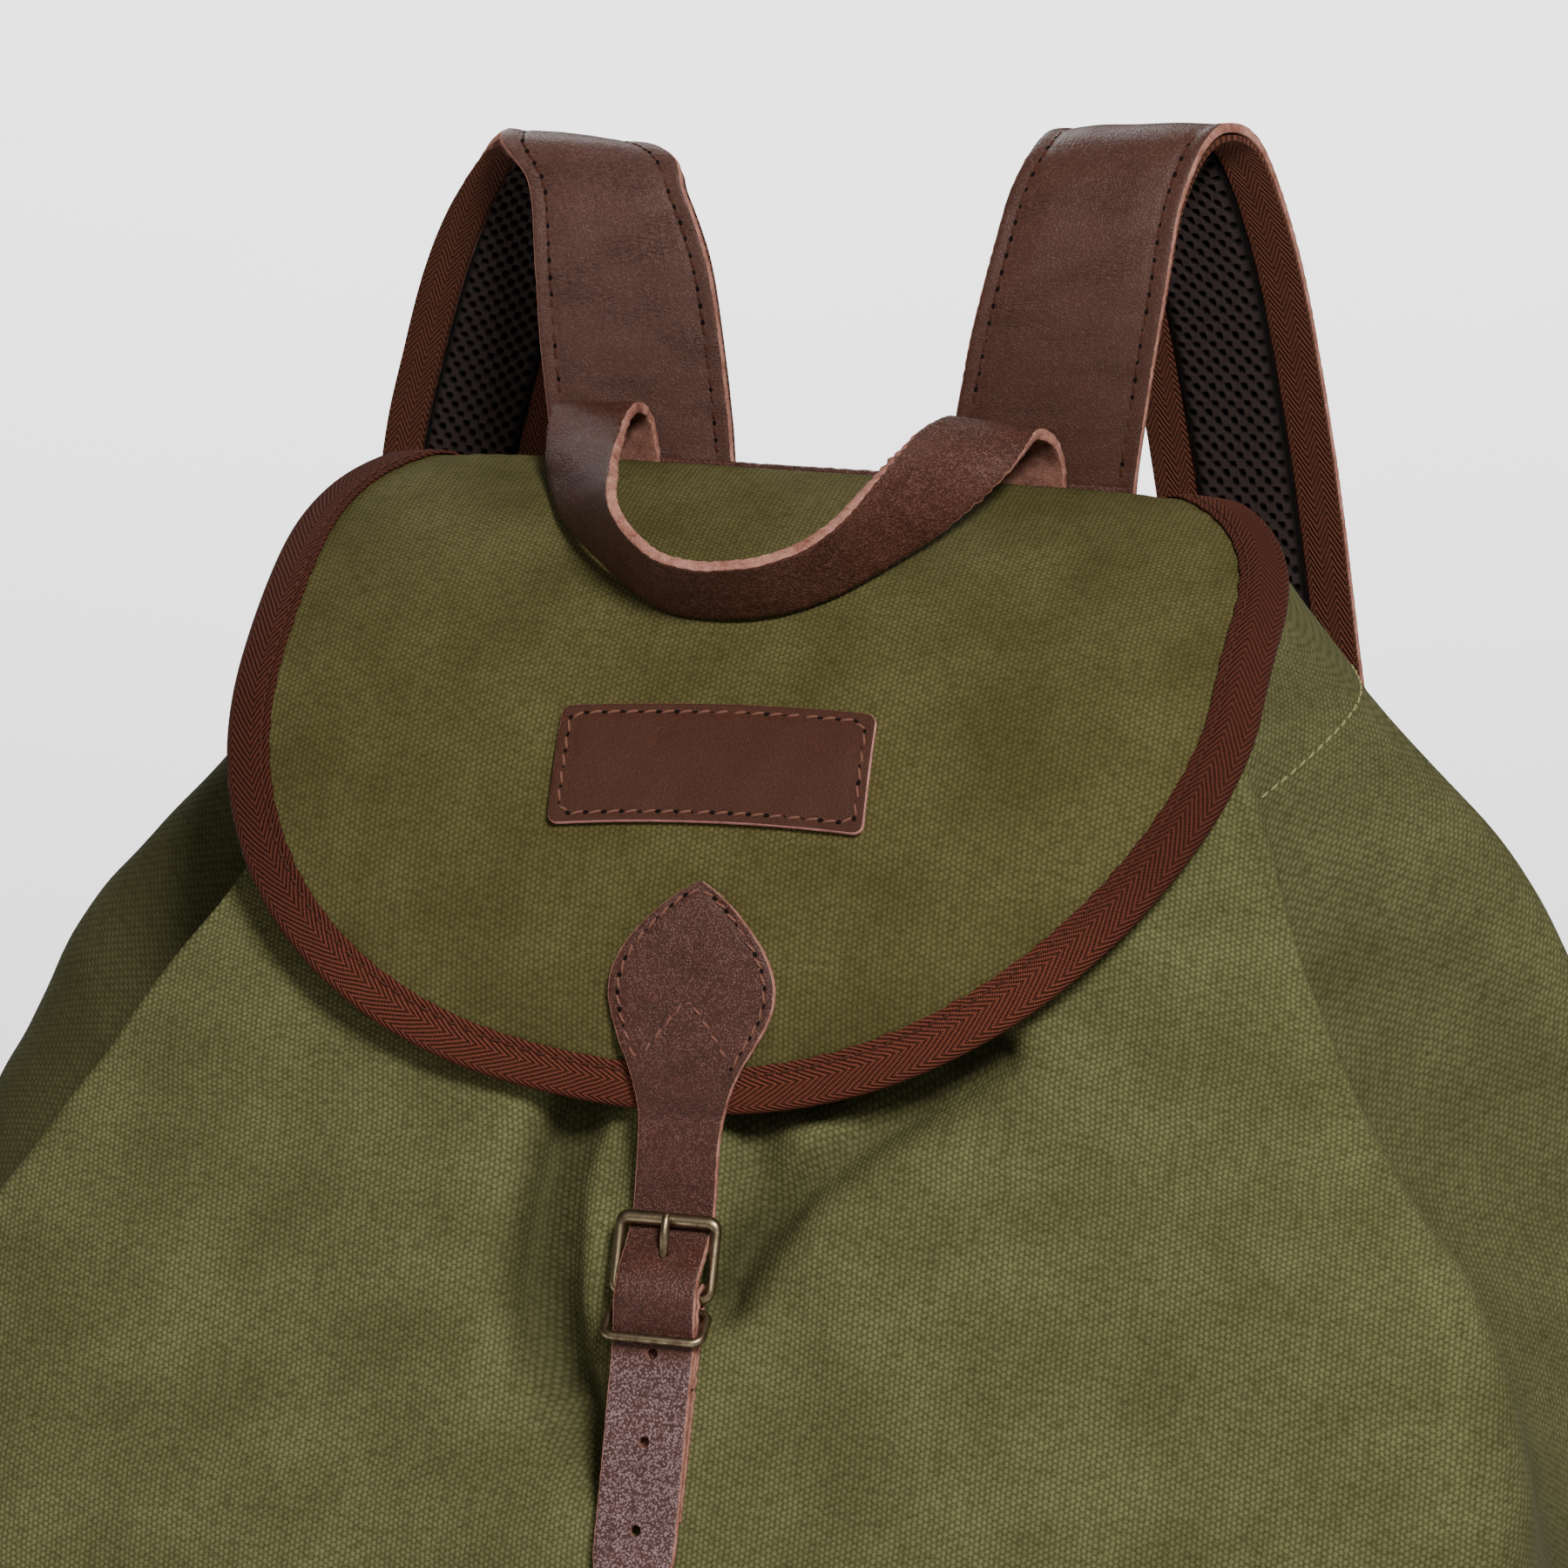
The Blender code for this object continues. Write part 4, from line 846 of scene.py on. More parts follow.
def wire_ring(name, middle, across, down, width, height, wires):
    """A rounded rectangle of wire; wires holds the radius of its top bar and of the rest."""
    flat = rounded_loop(width, height, WIRE_CORNER)
    top = smooth_step(-flat[:, 1], height / 2.0 - WIRE_CORNER, height / 2.0 - 0.2)
    line = middle + flat[:, :1] * np.asarray(across) + flat[:, 1:] * down
    return tube(name, line, wires[1] + (wires[0] - wires[1]) * top, True)


def bar_ring(name, first, second, width, wires):
    a, b = on_front(BUCKLE_X, *first), on_front(BUCKLE_X, *second)
    return wire_ring(name, (a + b) / 2.0, (1.0, 0.0, 0.0), unit(b - a), width, np.linalg.norm(b - a), wires)


def cut_with(piece, name, middle, toward, size=None, radius=None, length=16.0):
    """Cuts a round or oblong hole through a piece."""
    mesh = bpy.data.meshes.new(name)
    work = bmesh.new()
    if radius:
        bmesh.ops.create_cone(work, cap_ends=True, segments=28, radius1=radius * MM, radius2=radius * MM,
                              depth=length * MM)
    else:
        block = bmesh.ops.create_cube(work, size=1.0)
        bmesh.ops.scale(work, vec=np.multiply(size, MM), verts=block["verts"])
    work.to_mesh(mesh)
    work.free()
    mesh.materials.append(RAW)
    cutter = add_object(name, mesh)
    cutter.location = middle * MM
    cutter.rotation_mode = "QUATERNION"
    cutter.rotation_quaternion = Vector(toward).to_track_quat("Z", "X")
    hole = piece.modifiers.new(name, "BOOLEAN")
    hole.operation = "DIFFERENCE"
    hole.object = cutter
    bpy.context.view_layer.update()
    whole = bpy.data.meshes.new_from_object(piece.evaluated_get(bpy.context.evaluated_depsgraph_get()))
    piece.modifiers.clear()
    piece.data = whole
    bpy.data.objects.remove(cutter)


def make_closure_strap():
    rows = []
    for x, t, half in TAB_OUTLINE:
        over_binding = (BINDING_TAPE + SEAM_GAP + 0.25) * np.clip((t - 184.0) / 10.0, 0.0, 1.0)
        rows.append((*on_flap((x, t), SEAM_GAP + 0.1 + over_binding), half))
    halves = (STRAP_HALF_WIDTH,) * (len(STRAP_RUN) - len(STRAP_TIP)) + STRAP_TIP
    rows += [(*on_front(*place), half) for place, half in zip(STRAP_RUN, halves)]
    table = spline(rows)
    line = table[:, :3]
    strap = Strap(line, (-1.0, 0.0, 0.0), np.maximum(table[:, 3], 0.5), STRAP_LEATHER, step=0.9)
    tab_end = lengths(line)[TAB_END_ROW * STEPS]

    def shape(flat, half):
        inset = half - np.abs(flat[..., 0])
        on_tab = smooth_step(tab_end - flat[..., 1], 0.0, 12.0)
        groove = 0.3 * bump_at(inset, TAB_SEAM, 0.9) * on_tab * (half > 4.0)
        return 0.16 * waves(flat, 14.0, 31) - groove

    # Below the keeper the strap's face gets a painted grey sheen
    keeper_z = on_front(BUCKLE_X, KEEPER_FRONT[0], 0.0)[2]
    sheen_from = float(strap.run[np.argmax(strap.points[:, 2] < keeper_z)])
    face = leather_finish("leather_strap_end", *BROWN, sheen_from=sheen_from)
    piece = strap.solid("closure_strap_leather", [face, RAW, FLESH], 23, shape, 0.05, 41)
    for number, d in enumerate(HOLES_D, start=1):
        cut_with(piece, f"strap_hole_{number}", on_front(BUCKLE_X, d, 5.0), OFF_CLOTH, radius=HOLE_RADIUS)
    low, high = on_front(BUCKLE_X, *PRONG_RUN[1]), on_front(BUCKLE_X, *PRONG_RUN[4])
    cut_with(piece, "prong_hole", (low + high) / 2.0, high - low, radius=1.6, length=18.0)
    keep(piece, "leather", "closure_strap")

    def stitches(name, places, sides):
        strap_stitches(name, "leather", strap, places, sides, STRAP_LEATHER - 0.25, THREAD_LIGHT,
                       pitch=4.3, radius=0.36, slant=0.6, sink=0.0)

    tip = float(strap.run[np.argmax(strap.halves > 3.4)])
    rising = np.arange(tab_end - 1.0, tip, -1.0)
    places = np.concatenate((rising, [tip], rising[::-1]))
    signs = np.repeat((1.0, 0.0, -1.0), (len(rising), 1, len(rising)))
    half = np.interp(places, strap.run, strap.halves) - TAB_SEAM
    stitches("tab_stitching", places, signs * np.maximum(half, 0.0))
    apex, foot = tip + 26.5, tip + 41.5
    legs = np.linspace(foot, apex, 16)
    left = (foot - legs) / (foot - apex)
    sides = np.concatenate((10.6 - 10.0 * left, (0.6 - 11.8 * (1.0 - left[::-1]))[1:]))
    stitches("tab_corner_stitching", np.concatenate((legs, legs[::-1][1:])), sides)


def half_turn(bar, toward, side, radius):
    """Places round a bar, from one side of it over to the other."""
    turns = np.linspace(0.0, math.pi, LOOP_STEPS + 1)[:, None]
    return bar + radius * (np.cos(turns) * side + np.sin(turns) * toward)


def make_buckle():
    frame_wire = bar_ring("buckle_wire_frame", TOP_BAR, LOWER_BAR, FRAME_WIDTH, FRAME_WIRES)
    keep(frame_wire, "buckle_metal", "buckle_frame")
    keeper = bar_ring("keeper_wire_loop", KEEPER_BACK, KEEPER_FRONT, KEEPER_WIDTH, (KEEPER_WIRE,) * 2)
    keep(keeper, "buckle_metal", "keeper_loop")
    line = on_front(BUCKLE_X, *spline(PRONG_RUN).T)
    radii = np.interp(np.arange(len(line)), (0, len(line) * 0.6, len(line)), (1.2, 1.2, 0.95))
    keep(tube("buckle_wire_prong", line, radii, False), "buckle_metal", "buckle_prong")
    bar = on_front(BUCKLE_X, *LOWER_BAR)
    rows = np.vstack((on_front(BUCKLE_X, *np.transpose(LOWER_TAIL)),
                      half_turn(bar, UP_CLOTH, OFF_CLOTH, FRAME_WIRE + LOOP_GAP),
                      on_front(BUCKLE_X, *np.transpose(LOWER_LEAD))))
    strap = Strap(spline(rows, 5), (1.0, 0.0, 0.0), LOWER_HALF_WIDTH, LOWER_LEATHER, step=0.8)
    piece = strap.solid("buckle_strap_leather", HIDE, 9, ragged=0.18, seed=51)
    cut_with(piece, "prong_slot", bar + 1.2 * UP_CLOTH + 1.5 * OFF_CLOTH, OFF_CLOTH, size=(9.0, 3.2, 7.0))
    keep(piece, "leather", "buckle_strap")


# Handle and shoulder straps: rows of x, y, z, the width's turn and tilt, and the shoulder's half width

HANDLE_LEATHER, HANDLE_HALF_WIDTH = 3.0, 11.7
HANDLE_ROWS = (
    (-57.5, 98.0, 386.0, 180.0, 0.0), (-57.5, 98.0, 414.0, 180.0, 0.0),
    (-59.0, 95.5, 429.0, 180.0, 0.0), (-59.7, 87.0, 432.8, 170.0, -6.5),
    (-57.8, 73.0, 429.3, 148.5, -10.0), (-52.3, 53.8, 425.0, 130.0, -15.5),
    (-40.9, 29.2, 420.9, 125.0, -29.5), (-21.8, 16.5, 411.0, 112.5, -43.0),
    (-1.6, 14.0, 410.4, 95.0, -48.5), (15.9, 20.9, 414.1, 79.5, -45.5),
    (29.9, 36.5, 422.2, 61.5, -36.0), (39.8, 56.0, 430.0, 37.0, -29.0),
    (45.9, 73.0, 435.0, 14.0, -15.0), (48.0, 88.0, 434.0, 2.5, -5.0),
    (51.5, 96.5, 425.0, 0.0, 0.0), (51.5, 98.0, 411.0, 0.0, 0.0),
    (51.5, 98.0, 386.0, 0.0, 0.0),
)
# SHOULDER_SEAM is how far in from the strap's edge its stitches run
SHOULDER_LEATHER, SHOULDER_SEAM, MESH_PAD, PAD_GAP, PAD_SEAM = 2.5, 4.2, 3.0, 0.6, 0.8
MESH_HALF_WIDTH, TAPE_EDGE, TAPE_THICKNESS, SHOULDER_HALF_WIDTH = 12.9, 24.6, 1.5, 25.0
SHOULDER_ROWS = {
    "left": (
        (-52.5, 106.6, 380.0, 0.0, 0.0, 25.0), (-52.5, 106.6, 414.0, 0.0, 0.0, 25.0),
        (-55.5, 107.5, 445.0, 0.0, 1.0, 25.0), (-59.0, 110.0, 471.0, -2.0, 2.0, 23.6),
        (-65.2, 116.0, 489.2, -4.5, 1.0, 19.2), (-75.4, 125.2, 495.6, -6.5, -1.0, 14.6),
        (-83.4, 136.5, 490.0, -6.5, -4.0, 18.5), (-93.2, 145.0, 472.0, -5.0, -7.0, 23.0),
        (-102.8, 152.5, 450.0, -3.0, -8.5, 25.0), (-112.4, 159.5, 423.0, -1.0, -9.0, 25.0),
        (-120.0, 164.0, 396.0, 0.0, -8.0, 25.0), (-126.0, 166.0, 352.0, 0.0, -5.0, 25.0),
        (-130.0, 162.0, 302.0, 0.0, -1.0, 25.0), (-131.5, 153.5, 262.0, 0.0, 0.0, 25.0),
        (-132.0, 148.5, 242.0, 0.0, 0.0, 11.5),
    ),
    "right": (
        (55.5, 106.6, 380.0, 0.0, 0.0, 25.0), (55.5, 106.6, 414.0, 0.0, 0.0, 25.0),
        (59.5, 107.2, 445.0, 0.0, 2.5, 24.7), (63.5, 110.0, 469.0, -0.5, 5.0, 24.0),
        (67.0, 116.0, 489.0, -2.0, 6.0, 23.0), (71.0, 123.5, 500.5, -6.0, 5.0, 22.5),
        (74.8, 132.5, 504.3, -8.5, 6.0, 23.5), (78.5, 143.5, 500.0, -6.0, 6.0, 25.0),
        (83.5, 150.5, 486.0, -4.0, 6.0, 25.0), (89.0, 158.5, 460.0, -1.0, 6.0, 25.0),
        (94.0, 165.5, 426.0, 0.0, 4.0, 25.0), (98.5, 168.5, 394.0, 0.0, 4.0, 25.0),
        (104.5, 168.0, 350.0, 0.0, 3.0, 25.0), (111.5, 164.5, 306.0, 0.0, 1.0, 25.0),
        (118.5, 156.5, 266.0, 0.0, 0.0, 25.0), (123.0, 150.5, 246.0, 0.0, 0.0, 11.5),
    ),
}
# Half the pitch of the mesh's holes
HOLES_ACROSS, HOLES_ALONG = 2.15, 2.5
# The part of a shoulder strap's line that has the mesh and tapes under it
PADDED = slice(STEPS // 2, -STEPS)
RING_WIRE, RING_WIDTH, RING_HEIGHT = 1.6, 27.6, 18.0
TONGUE_LENGTH, TONGUE_HALF_WIDTH, LOOP_TAIL, SIDE_STRAP_LEATHER = 22.0, 11.0, 17.0, 2.4
ANCHOR_X, ANCHOR_HEIGHTS, SEWN_SHARE = 152.0, (62.0, 30.0), 0.85
LOWER_STRAP_SHARES = (0.12, 0.35, 0.6, 0.85)


def ribbon(rows):
    """A strap's line, its width vectors and the columns that follow them in its table."""
    table = spline(rows)
    yaw, tilt = np.radians(table[:, 3:5]).T
    widths = np.stack((np.cos(tilt) * np.cos(yaw), np.cos(tilt) * np.sin(yaw), np.sin(tilt)), axis=1)
    return table[:, :3], widths, table[:, 5:]


def make_handle():
    line, widths, _ = ribbon(HANDLE_ROWS)
    strap = Strap(line, widths, HANDLE_HALF_WIDTH, HANDLE_LEATHER, step=1.0)

    def shape(flat, half):
        return 0.15 * waves(flat, 18.0, 61) - 0.12 * (flat[..., 0] / half) ** 2

    piece = strap.solid("carry_handle_leather", [HANDLE_FACE, RAW, FLESH], 17, shape, 0.22, 62)
    keep(piece, "handle_leather", "carry_handle")


def make_shoulder_strap(side, outward, seed):
    line, widths, halves = ribbon(SHOULDER_ROWS[side])
    halves = halves[:, 0]
    end, down = line[-1], unit(line[-1] - line[-2])
    across = unit(widths[-1] - np.dot(widths[-1], down) * down)
    out = np.cross(across, down)
    radius = RING_WIRE + LOOP_GAP
    top_bar = end + TONGUE_LENGTH * down - radius * out
    tongue = np.vstack((end, end + TONGUE_LENGTH / 2 * down, half_turn(top_bar, down, out, radius),
                        top_bar - radius * out - LOOP_TAIL * down))
    tongue = spline(tongue, 6)[1:]
    leather_widths = np.vstack((widths, np.tile(across, (len(tongue), 1))))
    leather_halves = np.append(np.minimum(halves, SHOULDER_HALF_WIDTH), [TONGUE_HALF_WIDTH] * len(tongue))
    leather = Strap(np.vstack((line, tongue)), leather_widths, leather_halves, SHOULDER_LEATHER, step=1.5)

    def shape(flat, half):
        inset = half - np.abs(flat[..., 0])
        puff = 0.5 * smooth_step(inset, 4.5, 13.0) - 0.4 * bump_at(inset, SHOULDER_SEAM, 1.0)
        ripple = 0.14 * waves(flat, 20.0, seed) + 0.1 * waves(flat * (0.25, 1.0), 5.0, seed + 1)
        return puff * (half > 14.0) + ripple

    piece = leather.solid("shoulder_strap_leather_" + side, [SHOULDER_FACES[side], RAW, FLESH], 35, shape,
                          0.07, seed + 2)
    keep(piece, "strap_leather", "shoulder_strap_" + side)
    place = np.arange(3.0, lengths(line)[PADDED.stop - 1], 1.5)
    half = np.interp(place, leather.run, leather.halves) - SHOULDER_SEAM
    for number, sign in enumerate((-1.0, 1.0), start=1):
        strap_stitches(f"shoulder_stitching_{side}_{number}", "strap_leather", leather, place, sign * half,
                       SHOULDER_LEATHER - 0.35, THREAD, pitch=4.5, radius=0.36, slant=0.3, sink=0.2)

    def holes(flat):
        across_mm, run = flat[..., 0], flat[..., 1]
        grid = np.cos(math.pi * across_mm / HOLES_ACROSS) * np.cos(math.pi * run / HOLES_ALONG)
        edge = smooth_step(MESH_HALF_WIDTH - np.abs(across_mm), 0.0, 2.6)
        return -1.5 * smooth_step(grid, 0.05, 0.45) * edge - 1.6 * (1.0 - edge)

    padded_part = line[PADDED], widths[PADDED], halves[PADDED]
    pad = Strap(*padded_part, MESH_PAD, step=0.58)
    reach = MESH_HALF_WIDTH * pad.halves / SHOULDER_HALF_WIDTH
    mesh_piece = pad.band("strap_pad_mesh_" + side, MESH, -reach, reach, 60, holes)
    keep(mesh_piece, "strap_mesh", "strap_mesh_" + side)
    tape_line = Strap(*padded_part, TAPE_THICKNESS)
    share = tape_line.halves / SHOULDER_HALF_WIDTH
    for number, (place, sign) in enumerate((("outer", outward), ("inner", -outward))):
        near, far = sorted((sign * (MESH_HALF_WIDTH + PAD_SEAM), sign * TAPE_EDGE))

        def soft(flat):
            crown = 1.0 - ((flat[..., 0] - (near + far) / 2.0) / ((far - near) / 2.0)) ** 2
            return 0.25 * crown + 0.12 * waves(flat, 9.0, seed + 5 + number)

        name = f"strap_edge_tape_{place}_{side}"
        tape = tape_line.band(name, STRAP_TAPE, near * share, far * share, 13, soft)
        keep(tape, "strap_tape", f"strap_tape_{place}_{side}")

    lower_bar = top_bar + RING_HEIGHT * down
    ring = wire_ring("strap_wire_ring_" + side, (top_bar + lower_bar) / 2.0, across, down, RING_WIDTH,
                     RING_HEIGHT, (RING_WIRE,) * 2)
    keep(ring, "ring_metal", "strap_ring_" + side)
    make_lower_strap(side, lower_bar, across, seed)


def make_lower_strap(side, bar, across, seed):
    """The plain strap from the ring's lower bar to the back panel's corner."""
    corner_x, corner_y = math.copysign(ANCHOR_X, bar[0]), BACK_PLANE + SEAM_GAP + SIDE_STRAP_LEATHER
    top, foot = (np.array((corner_x, corner_y, z)) for z in ANCHOR_HEIGHTS)
    radius = RING_WIRE + LOOP_GAP
    up = unit(bar - top)
    bag_side = unit(np.cross(across, up))
    shares = np.array(LOWER_STRAP_SHARES)[:, None]
    path = np.vstack((foot, foot + (top - foot) * SEWN_SHARE, top + (bar + radius * bag_side - top) * shares,
                      half_turn(bar, up, bag_side, radius), bar - radius * bag_side - LOOP_TAIL * up))
    turned = np.array((0.0, 0.0) + LOWER_STRAP_SHARES + (1.0,) * (LOOP_STEPS + 2))[:, None]
    widths = (1.0 - turned) * (1.0, 0.0, 0.0) + turned * across
    table = spline(np.column_stack((path, widths)))
    strap = Strap(table[:, :3], table[:, 3:], TONGUE_HALF_WIDTH, SIDE_STRAP_LEATHER)
    keep(strap.solid("lower_strap_leather_" + side, HIDE, 11, seed=seed + 8), "strap_leather",
         "lower_strap_" + side)


YOKE_X, YOKE_Z, YOKE_HALF_WIDTH, YOKE_MIDDLE_Y, YOKE_LEATHER = (-78.0, 79.0), 400.1, 18.1, 102.5, 1.8


def make_yoke():
    line = np.linspace(*((x, YOKE_MIDDLE_Y - YOKE_LEATHER / 2, YOKE_Z) for x in YOKE_X), 40)
    strap = Strap(line, (0.0, 0.0, 1.0), YOKE_HALF_WIDTH, YOKE_LEATHER, step=1.6)
    keep(strap.solid("strap_yoke_leather", [LEATHER] * 3, 21, seed=91), "strap_leather", "strap_yoke")
    place = np.arange(3.0, strap.run[-1] - 2.0, 2.0)
    for number, inset in enumerate((3.2, 33.0), start=1):
        strap_stitches(f"yoke_stitching_{number}", "strap_leather", strap, place, inset - YOKE_HALF_WIDTH,
                       YOKE_LEATHER - 0.05, THREAD, pitch=4.5, radius=0.3, slant=0.3, sink=0.18)


# Sack: the CAD source's sections, drawn finer and with its folds, hem and seams

CANVAS_WALL = 2.0
BACK_CROWN, BACK_QUARTER, FRONT_QUARTER, FRONT_CROWN, FOLD_REACH = 1.0, 0.6, 0.55, 0.72, 4.0
BODY_SECTIONS = (
    (0.0, 0.0, -86.0, -166.0, 166.0, -68.0, -181.0, 181.0, -16.0, -182.0, 182.0, 42.0, 150.0, 82.0),
    (14.0, 14.0, -98.0, -182.0, 182.0, -80.0, -199.0, 199.0, -20.0, -200.0, 200.0, 46.0, 162.0, 93.0),
    (50.0, 50.0, -108.0, -192.0, 194.0, -88.0, -210.0, 212.0, -22.0, -213.0, 215.0, 48.0, 172.0, 94.0),
    (110.0, 110.0, -108.0, -200.0, 204.0, -90.0, -218.0, 222.0, -22.0, -225.0, 229.0, 50.0, 180.0, 94.0),
    (170.0, 170.0, -91.0, -202.0, 208.0, -77.0, -214.0, 220.0, -20.0, -227.0, 232.0, 50.0, 182.0, 94.0),
    (213.0, 213.0, -72.0, -198.0, 208.0, -63.0, -200.0, 211.0, -18.0, -224.0, 230.0, 50.0, 178.0, 94.0),
    (240.0, 240.0, -59.0, -188.0, 204.0, -52.0, -177.0, 197.0, -12.0, -220.0, 228.0, 50.0, 172.0, 94.0),
    (262.0, 264.0, -48.5, -174.0, 195.0, -42.0, -153.0, 179.0, -3.0, -209.0, 224.0, 51.0, 165.0, 94.0),
    (286.0, 291.0, -37.0, -157.0, 175.0, -32.0, -131.0, 156.0, 5.0, -197.0, 216.5, 52.0, 155.0, 94.0),
    (310.0, 318.0, -30.0, -141.0, 160.0, -22.0, -115.0, 140.0, 11.0, -177.0, 204.5, 54.0, 144.0, 94.0),
    (334.0, 347.0, -23.0, -123.0, 147.0, -12.0, -100.0, 128.0, 16.0, -150.0, 187.0, 56.0, 135.0, 94.0),
    (354.0, 376.0, -14.0, -109.0, 138.0, -4.0, -91.0, 122.0, 20.0, -134.0, 158.0, 59.0, 129.0, 93.2),
    (372.0, 406.0, 0.0, -99.0, 127.0, 6.5, -86.0, 114.5, 24.0, -118.0, 127.0, 61.0, 116.0, 91.0),
)
# Folds pressed into the front panel: the line that each follows as x, z, its half width and its depth
FRONT_FOLDS = (
    (((-24, 278), (-34, 205)), 11.0, 5.0),
    (((18, 284), (66, 300)), 9.0, 4.5),
    (((22, 268), (30, 235)), 9.0, 2.5),
    (((-95, 240), (-60, 170)), 22.0, 2.0),
)
SACK_LEVELS = 10
# Columns in each span between the outline's 14 points, and each column's place counted in points
SPAN_STEPS = (12, 12, 16, 20, 24, 26, 44, 44, 26, 24, 20, 16, 12, 12)
COLUMN_PLACES = np.concatenate([span + np.arange(steps) / steps for span, steps in enumerate(SPAN_STEPS)])
FRONT_COLUMN = 7.0
# The left gusset's cloth goes in deep right behind its crease
PLEAT_COLUMN, PLEAT_WIDTH, PLEAT_DEPTH = 3.72, 0.24, 15.0
HEM_DEPTH, HEM_SEAM = 31.0, 27.6
# Painted shade for the gussets' recessed cloth: columns, and how much darker the cloth is painted there
GUSSET_COLUMNS = (0.0, 2.0, 3.2, 4.6, 5.1, 8.9, 9.3, 11.5, 14.0)
GUSSET_PAINTED_SHADE = (0.0, 0.4, 0.6, 0.6, 0.0, 0.0, 0.34, 0.24, 0.0)
# Folds that only show in the cloth
CLOTH_FOLDS = (
    (((-28, 289), (-34, 277), (-36, 264), (-36, 246), (-31, 229), (-23, 218), (-15, 209)), 7.5, 12.0),
    (((-22, 283), (-25, 269), (-23, 252), (-22, 242)), 4.0, -3.0),
    (((15, 290), (17, 273), (16, 259), (13, 248)), 6.5, 6.0),
    (((13, 292), (32, 293), (54, 301), (72, 311)), 5.5, 9.0),
    (((62, 301), (50, 295), (40, 289), (30, 282)), 4.0, -2.5),
    (((76, 308), (60, 297), (44, 286), (30, 274), (20, 261), (14, 248)), 5.5, 7.5),
)


def fold_depth(x, z, folds):
    """How deep the folds go in at places of the front."""
    total = 0.0
    for line, half_width, depth in folds:
        away = np.min([away_from(x, z, a, b) for a, b in zip(line, line[1:])], axis=0)
        total = total + depth * bump_at(away, 0.0, half_width)
    return total


def away_from(x, z, first, second):
    """Distance from points of the front to a straight line between two others."""
    line = np.subtract(second, first)
    share = np.clip(((x - first[0]) * line[0] + (z - first[1]) * line[1]) / line.dot(line), 0.0, 1.0)
    return np.hypot(x - first[0] - share * line[0], z - first[1] - share * line[1])


def sack_section(row):
    """A closed outline from the middle of the back round by the left side, as x, y, z."""
    z_front, z_back, front_y, crease_l, crease_r, crease_y = row[:6]
    valley_l, valley_r, valley_y, wing_l, wing_r, wing_y, back_half, back_y = row[6:]
    quarter_y = front_y * FRONT_CROWN + crease_y * (1.0 - FRONT_CROWN)
    crown_y = back_y + BACK_CROWN
    plan = np.array((
        (0.0, crown_y), (-back_half * BACK_QUARTER, crown_y), (-back_half, back_y), (wing_l, wing_y),
        (valley_l, valley_y), (crease_l, crease_y), (crease_l * FRONT_QUARTER, quarter_y), (0.0, front_y),
        (crease_r * FRONT_QUARTER, quarter_y), (crease_r, crease_y), (valley_r, valley_y),
        (wing_r, wing_y), (back_half, back_y), (back_half * BACK_QUARTER, crown_y),
    ))
    loop = through(np.concatenate((plan[-1:], plan, plan[:2])), 1.0 + COLUMN_PLACES)
    x, y = loop[:, 0], np.minimum(loop[:, 1], BACK_PLANE)
    share = np.clip((y - front_y) / (back_y - front_y), 0.0, 1.0)
    z = z_front + (z_back - z_front) * share
    y = y + np.where(y < crease_y + FOLD_REACH, fold_depth(x, z, FRONT_FOLDS), 0.0)
    return np.stack((x, y, z), axis=1)


def sack_grid():
    places = np.arange((len(BODY_SECTIONS) - 1) * SACK_LEVELS + 1) / SACK_LEVELS
    return np.array([sack_section(row) for row in through(BODY_SECTIONS, places)])


def grid_normals(grid):
    """Outward normals of a grid that is closed around its columns."""
    around = np.roll(grid, -1, axis=1) - np.roll(grid, 1, axis=1)
    up = np.empty_like(grid)
    up[1:-1] = grid[2:] - grid[:-2]
    up[0], up[-1] = grid[1] - grid[0], grid[-1] - grid[-2]
    return unit(np.cross(around, up))


def sack_relief(grid, up_run):
    """How far the canvas stands off its plain shape: creases, wrinkles, hem and seams."""
    column = COLUMN_PLACES
    x, y, z = np.moveaxis(grid, -1, 0)
    low = smooth_step(z, 0.0, 30.0)
    lift = 0.9 * waves(grid, 70.0, 101) + 0.35 * waves(grid, 26.0, 102)
    lift = lift * (0.35 + 0.65 * smooth_step(BACK_PLANE - y, 0.0, 12.0))
    lift = lift + 1.3 * (bump_at(column, 5.0, 0.05) + bump_at(column, 9.0, 0.05)) * low
    from_rim = up_run[-1] - up_run
    beside = 1.0 - smooth_step(column, 4.9, 5.3) * smooth_step(-column, -9.1, -8.7)
    hem = 0.6 * smooth_step(-from_rim, -HEM_DEPTH, -HEM_DEPTH + 1.2) - 0.8 * bump_at(from_rim, HEM_DEPTH, 1.0)
    lift = lift + beside * (hem - 0.35 * bump_at(from_rim, HEM_SEAM, 0.9))
    on_front = smooth_step(column, 5.2, 6.0) * smooth_step(-column, -8.8, -8.0)
    lift = lift - fold_depth(x, z, CLOTH_FOLDS) * on_front
    lift = lift - PLEAT_DEPTH * bump_at(column, PLEAT_COLUMN, PLEAT_WIDTH) * smooth_step(z, 60.0, 200.0)
    lift = lift + 3.0 * bump_at(column, PLEAT_COLUMN - 0.5, PLEAT_WIDTH) * low
    lift = lift - 0.7 * (bump_at(column, 2.0, 0.05) + bump_at(column, 12.0, 0.05)) * low
    lift = lift - 0.8 * bump_at(z, 12.0, 1.8)
    room = smooth_step(BACK_PLANE + 0.4 - y, 0.0, 3.0)
    return np.where(lift > 0.0, lift * room, lift)


